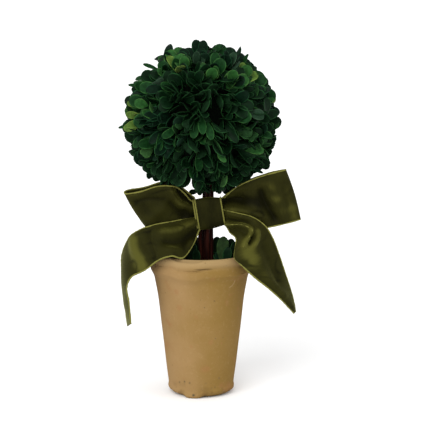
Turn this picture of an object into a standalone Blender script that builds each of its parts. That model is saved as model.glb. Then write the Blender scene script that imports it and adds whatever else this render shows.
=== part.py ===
"""A clipped ball of boxwood leaves on three sticks, in a clay pot with a ribbon bow.

The origin is the centre of the pot's flat underside, +Z is up and -Y is the front.
Single sizes are in metres; the points of outlines and routes are in millimetres.
"""

import math
import random

import bmesh
import bpy
import numpy as np
from mathutils import Matrix, Vector
from mathutils.bvhtree import BVHTree

MM = 0.001
GAP = 0.0003

# Pot, a turned clay shell: outline of the outside and of the inside, as (radius, height)
POT_OUTSIDE = [
    (0.0, 0.0), (25.8, 0.0), (28.2, 1.5), (29.1, 4.8), (28.6, 9.0), (31.0, 27.0), (33.1, 45.0),
    (35.3, 63.0), (37.8, 84.7), (40.1, 98.0), (41.4, 104.6), (43.1, 108.4), (44.3, 110.3),
    (44.6, 113.2), (44.4, 116.4), (43.8, 117.9), (44.4, 119.4), (44.9, 122.4), (44.5, 124.9),
    (43.2, 125.8),
]
POT_INSIDE = [(41.2, 125.4), (40.0, 123.0), (38.6, 112.0), (24.8, 9.0), (23.4, 7.0), (0.0, 7.0)]
POT_SEGMENTS = 48
LUMP_ANGLE = math.radians(-105)
LUMP_SPREAD = math.radians(17)
LUMP_SIZE = 0.0026
LUMP_HEIGHT = 0.0070
LUMP_INNER = 0.0250

# Foam plug that fills the pot up to ground level
GROUND = 0.1080
POT_FLOOR = 0.0070
PLUG_KNEE = 0.0094

# Sticks: foot and top centre in the ground plane, foot and top radius
STICKS = {
    "stem_left": ((-0.4, 0.4), (2.6, 1.3), 1.35, 1.15),
    "stem_middle": ((5.0, -1.2), (5.9, -1.4), 2.45, 2.15),
    "stem_right": ((8.9, 2.9), (9.0, 2.6), 2.10, 1.85),
}
STICK_SIDES = 9
STICK_RINGS = 7
STICK_WAVE = 0.00022
STICK_BENDS = 2.2

# Clipped ball of leaves
BALL_CENTRE = Vector((-0.0006, 0.0, 0.2436))
BALL_RADIUS = 0.0715
BALL_SQUASH = 0.970
CORE_RADIUS = 0.0525
COLLAR_RADIUS = 0.0115
COLLAR_HEIGHT = 0.0120
COLLAR_BOTTOM = 0.1895
COLLAR_SHIFT = 0.0050
COLLAR_SIDES = 12
BALL_SHOOTS = 98
BALL_TRIM = 0.975
SHOOT_REACH = 0.0058
SHOOT_ROOT = 0.0040
SHOOT_LEAN = 0.3
TIP_LEAF_TILT = 0.5
PAIR_PLACE = 0.72
PAIR_ANGLE = math.radians(49)
FORK_EVERY = 3
FORK_PLACE = 0.4
FORK_ANGLE = math.radians(50)
CORE_LEAVES = 150
CORE_LEAF_TURN = 1.3
CORE_LEAF_TILT = 1.1

# Twigs and leaves of both masses
TWIG_RADIUS = 0.0011
TWIG_TAPER = 0.55
TWIG_CLEARANCE = 0.0012
LEAF_LENGTH = 0.0240
LEAF_WIDTH = 0.0165
LEAF_LONGEST = 1.18
LEAF_SHORTEST = 0.7
LEAF_THICKNESS = 0.0009
LEAF_WIDEST = 0.56
LEAF_CUP = 0.07
LEAF_ROOT = 0.0007
LEAF_DROOP = 0.22
LEAF_TILT = 0.3
LEAF_ROLL = 0.6
LEAF_CLEARANCE = 0.0014
LEAF_TRIES = 8

# Low mass of leaves in the pot's mouth, on a ring of moss round the sticks
MOSS_RADIUS = 0.0245
MOSS_WIDTH = 0.0105
MOSS_HEIGHT = 0.0040
MOSS_EDGE = 0.0015
MOSS_ROWS = 5
MOSS_SEGMENTS = 24
MOUTH_SHOOTS = 30
MOUTH_SHOOT_LENGTH = (0.008, 0.012)
MOUTH_SPREAD = 0.55
MOUTH_TOP = 0.1372
MOUTH_RADIUS = 0.0372

# Ribbon bow: each row is one rung across the ribbon, its upper and its lower end
RIBBON_THICKNESS = 0.0008
LEFT_LOOP = [
    ((-5.9, -10.6, 171.0), (-2.3, -10.6, 150.0)),
    ((-20.0, -17.0, 184.5), (-18.0, -15.0, 149.0)),
    ((-36.0, -21.0, 186.5), (-31.0, -17.5, 148.0)),
    ((-52.0, -21.5, 181.8), (-41.0, -17.0, 148.0)),
    ((-64.8, -16.5, 179.2), (-47.2, -13.2, 149.7)),
    ((-64.0, -10.5, 181.2), (-46.6, -8.6, 150.2)),
    ((-50.0, -5.5, 183.0), (-38.0, -5.0, 150.5)),
    ((-28.0, -4.5, 185.5), (-22.0, -4.5, 151.0)),
    ((-6.0, -8.2, 172.0), (-2.6, -8.2, 152.0)),
]
RIGHT_LOOP = [
    ((17.7, -10.6, 173.0), (21.3, -10.6, 152.0)),
    ((32.0, -18.0, 185.5), (33.0, -16.0, 149.5)),
    ((45.0, -21.0, 192.4), (49.0, -20.5, 149.2)),
    ((58.5, -22.0, 197.0), (65.5, -21.5, 152.2)),
    ((71.6, -18.0, 199.8), (83.6, -17.5, 156.2)),
    ((72.0, -12.0, 199.4), (84.4, -11.5, 156.4)),
    ((59.0, -5.5, 195.6), (65.5, -5.0, 153.8)),
    ((38.0, -3.5, 187.5), (40.0, -3.5, 151.5)),
    ((17.6, -8.2, 174.0), (21.1, -8.2, 153.0)),
]
LEFT_TAIL = [
    ((-3.9, -13.0, 158.0), (-2.4, -13.0, 149.5)),
    ((-14.0, -18.5, 157.3), (-6.5, -23.0, 139.0)),
    ((-26.0, -22.5, 155.6), (-15.5, -38.0, 127.4)),
    ((-40.0, -22.5, 153.0), (-25.0, -43.0, 129.4)),
    ((-52.0, -18.0, 148.3), (-37.0, -40.5, 125.0)),
    ((-62.5, -8.5, 139.0), (-48.0, -34.5, 115.0)),
    ((-69.5, 3.0, 122.0), (-59.5, -30.0, 109.0)),
    ((-70.0, 8.0, 104.0), (-64.0, -29.0, 99.0)),
    ((-68.7, 9.0, 84.0), (-62.3, -28.5, 86.0)),
    ((-65.2, 7.0, 56.8), (-60.8, -27.0, 66.5)),
]
RIGHT_TAIL = [
    ((19.4, -13.0, 165.0), (21.6, -13.0, 152.0)),
    ((32.0, -20.5, 162.8), (24.7, -21.0, 146.5)),
    ((44.0, -24.5, 160.0), (30.5, -31.0, 142.5)),
    ((55.0, -25.0, 153.0), (29.2, -37.5, 133.2)),
    ((62.0, -21.5, 141.5), (29.2, -40.0, 126.6)),
    ((67.5, -18.0, 127.0), (36.2, -40.0, 119.8)),
    ((73.0, -14.5, 110.0), (46.5, -38.0, 109.8)),
    ((78.5, -11.5, 93.0), (59.0, -32.0, 98.5)),
    ((82.0, -10.0, 79.0), (72.0, -21.5, 84.5)),
    ((82.6, -10.0, 73.4), (81.4, -11.4, 72.6)),
]
LOOP_RUNGS = 33
TAIL_RUNGS = 25
RIBBON_ROWS = 6
LOOP_BULGE = 0.0012
TAIL_BULGE = 0.0022
BULGE_START = 4.0

# Knot in front of the sticks, and the turn of ribbon that ties it to them
KNOT_LOW = (-3.4, -15.6, 147.6)
KNOT_HIGH = (19.2, -6.2, 176.0)
KNOT_SLANT = 0.17
KNOT_ROUNDING = 0.0016
BAND_CENTRE = (5.7, 1.0)
BAND_INSIDE = 0.0062
BAND_BOTTOM = 0.1500
BAND_TOP = 0.1690
BAND_SEGMENTS = 28

# Colour, roughness and metallic value of each material
MATERIALS = {
    "clay": ((0.36, 0.22, 0.085), 0.85, 0.0),
    "foam": ((0.05, 0.035, 0.02), 0.95, 0.0),
    "bark": ((0.035, 0.010, 0.007), 0.70, 0.0),
    "leaves": ((0.012, 0.060, 0.022), 0.55, 0.0),
    "moss": ((0.016, 0.050, 0.014), 0.80, 0.0),
    "velvet": ((0.045, 0.045, 0.010), 0.90, 0.0),
}


def clear_scene():
    """Remove the objects that a new file starts with."""
    for item in list(bpy.data.objects):
        bpy.data.objects.remove(item, do_unlink=True)


def material(kind):
    """The named material, made on first use."""
    found = bpy.data.materials.get(kind)
    if found:
        return found
    colour, roughness, metallic = MATERIALS[kind]
    made = bpy.data.materials.new(kind)
    made.use_nodes = True
    made.diffuse_color = (*colour, 1.0)
    shader = made.node_tree.nodes["Principled BSDF"]
    shader.inputs["Base Color"].default_value = (*colour, 1.0)
    shader.inputs["Roughness"].default_value = roughness
    shader.inputs["Metallic"].default_value = metallic
    return made


def add_object(name, vertices, faces, kind, collection=None):
    """A mesh object from its vertices and faces, with one material."""
    mesh = bpy.data.meshes.new(name)
    mesh.from_pydata([tuple(point) for point in vertices], [], [tuple(face) for face in faces])
    mesh.materials.append(material(kind))
    made = bpy.data.objects.new(name, mesh)
    (collection or bpy.context.scene.collection).objects.link(made)
    return made


def shade_round(item, angle=40):
    """Smooth shading, with edges sharper than the angle in degrees left sharp."""
    item.data.shade_smooth()
    item.data.set_sharp_from_angle(angle=math.radians(angle))


def turned(name, profile, kind, segments, shift=(0.0, 0.0), reshape=None):
    """A solid turned about a vertical axis.

    The profile runs from a point on the axis round the section to a point on the axis, the
    outside first and upwards. A reshape function may move each ring point in or out.
    """
    rings = []
    vertices = []
    for radius, height in profile:
        start = len(vertices)
        if radius == 0.0:
            vertices.append((shift[0], shift[1], height))
            rings.append([start] * segments)
            continue
        for step in range(segments):
            angle = math.tau * step / segments
            reach = radius + (reshape(angle, radius, height) if reshape else 0.0)
            vertices.append((shift[0] + reach * math.cos(angle), shift[1] + reach * math.sin(angle), height))
        rings.append(list(range(start, start + segments)))
    faces = []
    for low, high in zip(rings, rings[1:]):
        for step in range(segments):
            after = (step + 1) % segments
            corners = [low[step], low[after], high[after], high[step]]
            faces.append([corner for place, corner in enumerate(corners) if corner not in corners[:place]])
    made = add_object(name, vertices, faces, kind)
    shade_round(made)
    return made


def turned_ring(name, section, kind, segments, centre):
    """A ring: a closed section, its outside first and upwards, turned about a vertical axis."""
    vertices = []
    for radius, height in section:
        for step in range(segments):
            angle = math.tau * step / segments
            across = (centre[0] + radius * math.cos(angle), centre[1] + radius * math.sin(angle))
            vertices.append((*across, height))
    faces = []
    for ring in range(len(section)):
        low = ring * segments
        high = (ring + 1) % len(section) * segments
        for step in range(segments):
            after = (step + 1) % segments
            faces.append((low + step, low + after, high + after, high + step))
    return add_object(name, vertices, faces, kind)


def foot_lump(angle, radius, height):
    """The lump of clay left on the foot's edge at the front, in metres outwards."""
    if height > LUMP_HEIGHT or radius < LUMP_INNER:
        return 0.0
    away = (angle - LUMP_ANGLE + math.pi) % math.tau - math.pi
    return LUMP_SIZE * math.exp(-((away / LUMP_SPREAD) ** 2)) * (1.0 - height / LUMP_HEIGHT)


def make_pot():
    """The clay pot, open at the top, with a rounded lip, a groove and a band below it."""
    profile = [(radius * MM, height * MM) for radius, height in POT_OUTSIDE + POT_INSIDE]
    return turned("pot", profile, "clay", POT_SEGMENTS, reshape=foot_lump)


def wall_radius(height):
    """Radius of the pot's inside at a height, in metres."""
    inside = sorted((z, radius) for radius, z in POT_INSIDE if radius)
    heights = [z * MM for z, _ in inside]
    radii = [radius * MM for _, radius in inside]
    return float(np.interp(height, heights, radii))


def make_plug():
    """The foam plug, which stands on the pot's floor and fills it to ground level."""
    bottom = POT_FLOOR + GAP
    profile = [
        (0.0, bottom),
        (wall_radius(POT_FLOOR) - GAP, bottom),
        (wall_radius(PLUG_KNEE) - 2 * GAP, PLUG_KNEE),
        (wall_radius(GROUND) - GAP, GROUND),
        (0.0, GROUND),
    ]
    return turned("foam_plug", profile, "foam", POT_SEGMENTS)


def make_stick(name, foot, top, foot_radius, top_radius):
    """One stick, tapered and leaning, from its flat cut at ground level to its flat top."""
    low = GROUND + GAP
    high = COLLAR_BOTTOM - GAP
    vertices = []
    for ring in range(STICK_RINGS):
        share = ring / (STICK_RINGS - 1)
        wave = STICK_WAVE * math.sin(STICK_BENDS * math.pi * share + foot_radius)
        centre_x = MM * (foot[0] + (top[0] - foot[0]) * share) + wave
        centre_y = MM * (foot[1] + (top[1] - foot[1]) * share) - wave / 2
        radius = MM * (foot_radius + (top_radius - foot_radius) * share)
        for side in range(STICK_SIDES):
            angle = math.tau * side / STICK_SIDES
            vertices.append((
                centre_x + radius * math.cos(angle),
                centre_y + radius * math.sin(angle),
                low + (high - low) * share,
            ))
    faces = [list(range(STICK_SIDES))[::-1]]
    for ring in range(STICK_RINGS - 1):
        base = ring * STICK_SIDES
        for side in range(STICK_SIDES):
            after = (side + 1) % STICK_SIDES
            faces.append([base + side, base + after, base + after + STICK_SIDES, base + side + STICK_SIDES])
    faces.append(list(range((STICK_RINGS - 1) * STICK_SIDES, STICK_RINGS * STICK_SIDES)))
    made = add_object(name, vertices, faces, "bark")
    shade_round(made, 60)
    return made


def smooth_route(points, count):
    """Points along a smooth curve through the given ones, a Catmull-Rom spline.

    Between two given points the curve blends the straight runs before, between and after them,
    so that it leaves each point in the direction of its neighbours.
    """
    known = np.array(points, dtype=float)
    padded = np.vstack([2 * known[0] - known[1], known, 2 * known[-1] - known[-2]])
    place = np.linspace(0.0, len(known) - 1, count)
    index = np.minimum(place.astype(int), len(known) - 2)
    share = (place - index)[:, None]
    before, start, end, after = (padded[index + step] for step in range(4))
    return 0.5 * (
        2 * start
        + (end - before) * share
        + (2 * before - 5 * start + 4 * end - after) * share**2
        + (3 * start - before - 3 * end + after) * share**3
    )


def make_ribbon(name, rungs, count, bulge):
    """One stretch of ribbon: its middle surface, given its thickness by a Solidify modifier.

    The surface runs straight from the upper to the lower edge along each rung, and bulges
    square to itself by a half sine wave across the ribbon, flat again at both its ends.
    """
    upper = smooth_route([rung[0] for rung in rungs], count)
    lower = smooth_route([rung[1] for rung in rungs], count)
    across = np.linspace(0.0, 1.0, RIBBON_ROWS)[None, :, None]
    grid = (upper[:, None, :] * (1 - across) + lower[:, None, :] * across) * MM
    normal = np.cross(np.gradient(grid, axis=0), np.gradient(grid, axis=1))
    normal /= np.linalg.norm(normal, axis=2, keepdims=True)
    ends = np.sin(np.pi * np.linspace(0.0, 1.0, count))[:, None, None]
    front = np.sign(-normal[2:4, RIBBON_ROWS // 2, 1].mean())
    grid += front * normal * bulge * np.sin(np.pi * across) * np.minimum(1.0, BULGE_START * ends)
    faces = []
    for rung in range(count - 1):
        for row in range(RIBBON_ROWS - 1):
            corner = rung * RIBBON_ROWS + row
            faces.append((corner, corner + RIBBON_ROWS, corner + RIBBON_ROWS + 1, corner + 1))
    made = add_object(name, grid.reshape(-1, 3), faces, "velvet")
    thick = made.modifiers.new("thickness", "SOLIDIFY")
    thick.thickness = RIBBON_THICKNESS
    thick.offset = 0.0
    thick.use_even_offset = True
    shade_round(made, 60)
    return made


def make_knot():
    """The rounded knot of the bow: a block that leans as it goes up, with its edges bevelled."""
    low = Vector(KNOT_LOW) * MM
    high = Vector(KNOT_HIGH) * MM
    shape = bmesh.new()
    bmesh.ops.create_cube(shape, size=1.0)
    size = high - low
    for corner in shape.verts:
        rise = corner.co.z * size.z
        corner.co = low + Vector(corner.co[axis] * size[axis] + size[axis] / 2 for axis in range(3))
        corner.co.x -= KNOT_SLANT * rise
    mesh = bpy.data.meshes.new("bow_knot")
    shape.to_mesh(mesh)
    shape.free()
    mesh.materials.append(material("velvet"))
    made = bpy.data.objects.new("bow_knot", mesh)
    bpy.context.scene.collection.objects.link(made)
    rounding = made.modifiers.new("rounding", "BEVEL")
    rounding.width = KNOT_ROUNDING
    rounding.segments = 3
    shade_round(made)
    return made


def make_band():
    """The turn of ribbon round the sticks: a ring with a rectangular section."""
    outside = BAND_INSIDE + RIBBON_THICKNESS
    section = [
        (outside, BAND_BOTTOM), (outside, BAND_TOP), (BAND_INSIDE, BAND_TOP), (BAND_INSIDE, BAND_BOTTOM),
    ]
    centre = (BAND_CENTRE[0] * MM, BAND_CENTRE[1] * MM)
    made = turned_ring("bow_band", section, "velvet", BAND_SEGMENTS, centre)
    shade_round(made)
    return made


class LeafMass:
    """A mass of twigs and leaves that grows out of a core and keeps to its own space.

    Each shoot is a three-sided twig, which may fork once, with a leaf at each tip and leaves at
    its sides. A leaf or twig that would leave the mass's space, or come close to something that
    isn't part of it, is skipped, and so is a leaf that would cut through another leaf.
    """

    def __init__(self, name, core, inside, obstacles, seed):
        self.name = name
        self.core = core
        self.inside = inside
        self.obstacles = obstacles
        self.random = random.Random(seed)
        self.blades = []
        self.parts = bpy.data.collections.new(name + "_parts")
        bpy.context.scene.collection.children.link(self.parts)

    def is_free(self, vertices, faces, margin):
        """Whether corners, edge middles and face middles all lie in the space, clear of obstacles."""
        samples = list(vertices)
        for face in faces:
            corners = [vertices[index] for index in face]
            samples.append(sum(corners, Vector()) / len(corners))
            samples.extend((first + second) / 2 for first, second in zip(corners, corners[1:]))
        if not all(self.inside(point) for point in samples):
            return False
        return all(
            tree.find_nearest(point, margin)[0] is None for tree in self.obstacles for point in samples
        )

    def add_twig(self, start, end, radius):
        """A three-sided twig that tapers to its end; false if there is no room for its tip."""
        along = (end - start).normalized()
        side = along.orthogonal().normalized()
        other = along.cross(side)
        vertices = []
        for centre, size in ((start, radius), (end, radius * TWIG_TAPER)):
            for corner in range(3):
                angle = math.tau * corner / 3
                vertices.append(centre + (side * math.cos(angle) + other * math.sin(angle)) * size)
        faces = [(2, 1, 0), (3, 4, 5), (0, 1, 4, 3), (1, 2, 5, 4), (2, 0, 3, 5)]
        if not self.is_free(vertices[3:], [(0, 1, 2)], TWIG_CLEARANCE):
            return False
        add_object("twig", vertices, faces, "leaves", self.parts)
        return True

    def add_leaf(self, root, direction, outward, length, width):
        """A leaf with its root in the twig, at the first of a few tilts that has room for it."""
        for _ in range(LEAF_TRIES):
            tilt = Vector([self.random.uniform(-LEAF_TILT, LEAF_TILT) for _ in range(3)])
            along = (direction.normalized() + tilt).normalized()
            up = outward - along * outward.dot(along)
            up = Matrix.Rotation(self.random.uniform(-LEAF_ROLL, LEAF_ROLL), 3, along) @ up.normalized()
            vertices, faces = leaf_shape(root, along, up, length, width)
            blade = BVHTree.FromPolygons(vertices, faces)
            if any(blade.overlap(other) for other in self.blades):
                continue
            if self.is_free(vertices, faces, LEAF_CLEARANCE):
                add_object("leaf", vertices, faces, "leaves", self.parts)
                self.blades.append(blade)
                return

    def fuse(self):
        """Join core, twigs and leaves by one Boolean union and keep the outer skin only."""
        union = self.core.modifiers.new("union", "BOOLEAN")
        union.operation = "UNION"
        union.operand_type = "COLLECTION"
        union.collection = self.parts
        graph = bpy.context.evaluated_depsgraph_get()
        fused = bpy.data.meshes.new_from_object(self.core.evaluated_get(graph))
        self.core.modifiers.clear()
        self.core.data = fused
        for item in list(self.parts.objects):
            bpy.data.objects.remove(item, do_unlink=True)
        bpy.data.collections.remove(self.parts)
        keep_outer_skin(fused)
        fused.name = self.name
        self.core.name = self.name
        return self.core


def leaf_shape(root, along, up, length, width):
    """Corners and faces of a leaf: a kite of four rim corners, thickest at its middle and cupped."""
    side = along.cross(up)
    middle = root + along * (LEAF_WIDEST * length)
    hollow = up * (LEAF_CUP * length)
    half = up * (LEAF_THICKNESS / 2)
    vertices = [
        root - along * LEAF_ROOT,
        middle + side * (width / 2),
        root + along * length,
        middle - side * (width / 2),
        middle - hollow + half,
        middle - hollow - half,
    ]
    faces = [(0, 1, 4), (1, 2, 4), (2, 3, 4), (3, 0, 4), (1, 0, 5), (2, 1, 5), (3, 2, 5), (0, 3, 5)]
    return vertices, faces


def keep_outer_skin(mesh):
    """Drop every separate shell but the largest: loose scraps and the walls of sealed hollows."""
    shape = bmesh.new()
    shape.from_mesh(mesh)
    bmesh.ops.triangulate(shape, faces=shape.faces)
    unseen = set(shape.verts)
    shells = []
    while unseen:
        queue = [unseen.pop()]
        shell = list(queue)
        while queue:
            for edge in queue.pop().link_edges:
                for corner in edge.verts:
                    if corner in unseen:
                        unseen.remove(corner)
                        queue.append(corner)
                        shell.append(corner)
        shells.append(shell)
    shells.sort(key=len)
    loose = [corner for shell in shells[:-1] for corner in shell]
    bmesh.ops.delete(shape, geom=loose, context="VERTS")
    shape.to_mesh(mesh)
    shape.free()


def surface_tree(item):
    """A search tree over an object's finished surface."""
    return BVHTree.FromObject(item, bpy.context.evaluated_depsgraph_get())


def ball_place(point):
    """A point's distance from the ball's centre, with the ball's flattening taken out."""
    away = point - BALL_CENTRE
    return Vector((away.x, away.y, away.z / BALL_SQUASH)).length


def make_ball_core():
    """The ball's inner core, with the flat collar below it that the sticks reach."""
    shape = bmesh.new()
    bmesh.ops.create_icosphere(shape, subdivisions=2, radius=CORE_RADIUS)
    bmesh.ops.translate(shape, verts=shape.verts, vec=BALL_CENTRE)
    mesh = bpy.data.meshes.new("core")
    shape.to_mesh(mesh)
    shape.free()
    mesh.materials.append(material("leaves"))
    core = bpy.data.objects.new("core", mesh)
    bpy.context.scene.collection.objects.link(core)
    return core


def grow_ball(obstacles):
    """The clipped ball: shoots all round, with leaves cut off level at the ball's surface."""
    mass = LeafMass(
        "leaf_ball", make_ball_core(), lambda point: ball_place(point) <= BALL_RADIUS, obstacles, seed=11
    )
    top = COLLAR_BOTTOM + COLLAR_HEIGHT
    profile = [(0.0, COLLAR_BOTTOM), (COLLAR_RADIUS, COLLAR_BOTTOM), (COLLAR_RADIUS, top), (0.0, top)]
    collar = turned("collar", profile, "leaves", COLLAR_SIDES, shift=(COLLAR_SHIFT, 0.0))
    bpy.context.scene.collection.objects.unlink(collar)
    mass.parts.objects.link(collar)
    for index, outward in enumerate(spread_directions(BALL_SHOOTS, 0.0)):
        grow_ball_shoot(mass, outward, forked=index % FORK_EVERY == 0)
    for outward in spread_directions(CORE_LEAVES, CORE_LEAF_TURN):
        grow_ball_leaf(mass, BALL_CENTRE + outward * (CORE_RADIUS - LEAF_ROOT), outward, CORE_LEAF_TILT)
    return mass.fuse()


def spread_directions(count, turn):
    """Directions spread evenly over a ball, each a golden angle on from the last."""
    golden = math.pi * (3 - math.sqrt(5))
    directions = []
    for index in range(count):
        height = 1 - 2 * (index + 0.5) / count
        level = math.sqrt(1 - height * height)
        angle = golden * index + turn
        directions.append(Vector((level * math.cos(angle), level * math.sin(angle), height)))
    return directions


def grow_ball_shoot(mass, outward, forked):
    """One shoot of the ball: a twig, sometimes a fork, and leaves that end at the ball's surface."""
    chance = mass.random
    lean = Vector([chance.uniform(-SHOOT_LEAN, SHOOT_LEAN) for _ in range(3)])
    start = BALL_CENTRE + outward * (CORE_RADIUS - SHOOT_ROOT)
    end = start + (outward + lean).normalized() * (SHOOT_REACH + SHOOT_ROOT)
    if not mass.add_twig(start, end, TWIG_RADIUS):
        return
    side = Matrix.Rotation(chance.uniform(0, math.tau), 3, outward) @ outward.orthogonal().normalized()
    grow_ball_leaf(mass, end, (outward + lean).normalized(), TIP_LEAF_TILT)
    for way in (1, -1):
        root = start.lerp(end, PAIR_PLACE) + side * (way * TWIG_RADIUS * 0.4)
        grow_ball_leaf(mass, root, outward * math.cos(PAIR_ANGLE) + side * (math.sin(PAIR_ANGLE) * way), 0.0)
    if not forked:
        return
    branch = outward * math.cos(FORK_ANGLE) + outward.cross(side) * math.sin(FORK_ANGLE)
    fork = start.lerp(end, FORK_PLACE)
    if mass.add_twig(fork, fork + branch * SHOOT_REACH, TWIG_RADIUS * 0.85):
        grow_ball_leaf(mass, fork + branch * SHOOT_REACH, branch, 0.0)


def grow_ball_leaf(mass, root, heading, tilt):
    """One leaf of the ball, tilted off its heading at random, drooping, and cut to the surface."""
    chance = mass.random
    side = Matrix.Rotation(chance.uniform(0, math.tau), 3, heading) @ heading.orthogonal().normalized()
    heading = (heading + side * tilt).normalized() - Vector((0, 0, LEAF_DROOP))
    heading.normalize()
    length = ball_leaf_length(root, heading, chance.uniform(BALL_TRIM, 1.0))
    face = (root - BALL_CENTRE).normalized() + Vector((0, 0, 0.5))
    mass.add_leaf(root, heading, face, length, LEAF_WIDTH * chance.uniform(0.88, 1.1))


def ball_leaf_length(root, heading, share):
    """The length that ends a leaf at a share of the ball's radius, kept near the usual size."""
    length = LEAF_LENGTH * LEAF_LONGEST
    while length > LEAF_LENGTH * LEAF_SHORTEST and ball_place(root + heading * length) > BALL_RADIUS * share:
        length *= 0.98
    return length


def make_moss_ring():
    """The ring of moss on the plug: a flat-bottomed round cushion with a hole for the sticks."""
    bottom = GROUND + GAP
    section = [(MOSS_RADIUS + MOSS_WIDTH, bottom)]
    for row in range(MOSS_ROWS):
        angle = math.pi * row / (MOSS_ROWS - 1)
        height = bottom + MOSS_EDGE + MOSS_HEIGHT * math.sin(angle)
        section.append((MOSS_RADIUS + MOSS_WIDTH * math.cos(angle), height))
    section.append((MOSS_RADIUS - MOSS_WIDTH, bottom))
    return turned_ring("moss", section, "moss", MOSS_SEGMENTS, (0.0, 0.0))


def in_mouth(point):
    """Whether a point lies in the space over the moss, inside the pot's rim."""
    reach = math.hypot(point.x, point.y)
    return GROUND + GAP <= point.z <= MOUTH_TOP and reach <= MOUTH_RADIUS


def grow_mouth(obstacles):
    """The leaves in the pot's mouth: short forked shoots from the moss ring, leaning outwards."""
    mass = LeafMass("pot_foliage", make_moss_ring(), in_mouth, obstacles, seed=5)
    chance = mass.random
    for index in range(MOUTH_SHOOTS):
        angle = math.tau * index / MOUTH_SHOOTS + chance.uniform(-0.08, 0.08)
        row = 0.5 if index % 2 else -0.5
        reach = MOSS_RADIUS + MOSS_WIDTH * row
        foot = Vector((reach * math.cos(angle), reach * math.sin(angle), GROUND + MOSS_EDGE))
        outward = Vector((math.cos(angle), math.sin(angle), 0.0))
        upright = Vector((0, 0, 1)) + outward * (0.2 * row)
        tip = foot + upright.normalized() * chance.uniform(*MOUTH_SHOOT_LENGTH)
        if not mass.add_twig(foot, tip, TWIG_RADIUS):
            continue
        for part in range(3):
            spread = Matrix.Rotation(angle + math.tau * part / 3, 3, "Z") @ Vector((MOUTH_SPREAD, 0, 0))
            length = LEAF_LENGTH * chance.uniform(0.68, 0.88)
            root = foot.lerp(tip, 0.72) if part else tip
            mass.add_leaf(root, upright + spread, spread + outward * 0.3, length, LEAF_WIDTH * 0.8)
    return mass.fuse()


def main():
    """Build the pot and its filling, the sticks, the bow, then the leaves clear of them."""
    clear_scene()
    pot = make_pot()
    make_plug()
    sticks = [make_stick(name, *values) for name, values in STICKS.items()]
    bow = [
        make_ribbon("bow_loop_left", LEFT_LOOP, LOOP_RUNGS, LOOP_BULGE),
        make_ribbon("bow_loop_right", RIGHT_LOOP, LOOP_RUNGS, LOOP_BULGE),
        make_ribbon("bow_tail_left", LEFT_TAIL, TAIL_RUNGS, TAIL_BULGE),
        make_ribbon("bow_tail_right", RIGHT_TAIL, TAIL_RUNGS, TAIL_BULGE),
        make_knot(),
        make_band(),
    ]
    bpy.context.view_layer.update()
    obstacles = [surface_tree(item) for item in bow + sticks]
    grow_ball(obstacles)
    grow_mouth(obstacles + [surface_tree(pot)])


main()
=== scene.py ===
"""The looks of a preserved boxwood ball topiary in a clay pot, tied with a velvet bow.

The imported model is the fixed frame: each piece here is a finer mesh in the place of a CAD node.
Sizes are in metres. The outlines of the pot, the sticks, the ribbon, the knot and the ends of
single leaves are in millimetres, as in the part's source. The front is -Y and +Z is up.
"""

import logging
import math
from abc import ABC, abstractmethod
from dataclasses import dataclass, fields
from enum import Enum
from functools import cache, cached_property
from typing import NamedTuple

import bmesh
import bpy
import numpy as np
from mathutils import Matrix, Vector
from mathutils.bvhtree import BVHTree


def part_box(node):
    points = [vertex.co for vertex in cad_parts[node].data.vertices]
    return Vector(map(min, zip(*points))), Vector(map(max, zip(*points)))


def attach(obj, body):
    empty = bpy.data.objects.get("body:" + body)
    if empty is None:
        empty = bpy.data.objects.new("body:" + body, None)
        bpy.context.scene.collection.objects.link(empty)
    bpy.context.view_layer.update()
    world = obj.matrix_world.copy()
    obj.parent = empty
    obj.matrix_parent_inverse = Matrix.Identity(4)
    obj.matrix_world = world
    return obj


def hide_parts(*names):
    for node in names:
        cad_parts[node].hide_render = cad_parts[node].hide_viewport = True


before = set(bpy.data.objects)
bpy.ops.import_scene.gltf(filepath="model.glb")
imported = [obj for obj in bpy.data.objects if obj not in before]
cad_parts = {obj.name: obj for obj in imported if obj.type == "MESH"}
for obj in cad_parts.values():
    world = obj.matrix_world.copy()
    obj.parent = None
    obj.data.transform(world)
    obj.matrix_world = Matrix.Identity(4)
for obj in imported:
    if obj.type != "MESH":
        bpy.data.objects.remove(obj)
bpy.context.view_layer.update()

LOG = logging.getLogger("topiary")
MM = 0.001
BODY = "root"
GOLDEN_ANGLE = math.pi * (3 - math.sqrt(5))
# Name of the velvet's attribute of painted light and shade.
SHADE_AND_PILE = "tone"
TINY = 1e-6

Array = np.ndarray
Chance = np.random.Generator
Colour = tuple[float, float, float]
Socket = bpy.types.NodeSocket
Value = Socket | float | tuple
Material = bpy.types.Material
Piece = bpy.types.Object


class Slot(Enum):
    """The material slots that the finishes belong to."""

    CLAY = "clay"
    FOAM = "foam"
    BARK = "bark"
    LEAVES = "leaves"
    VELVET = "velvet"


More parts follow.
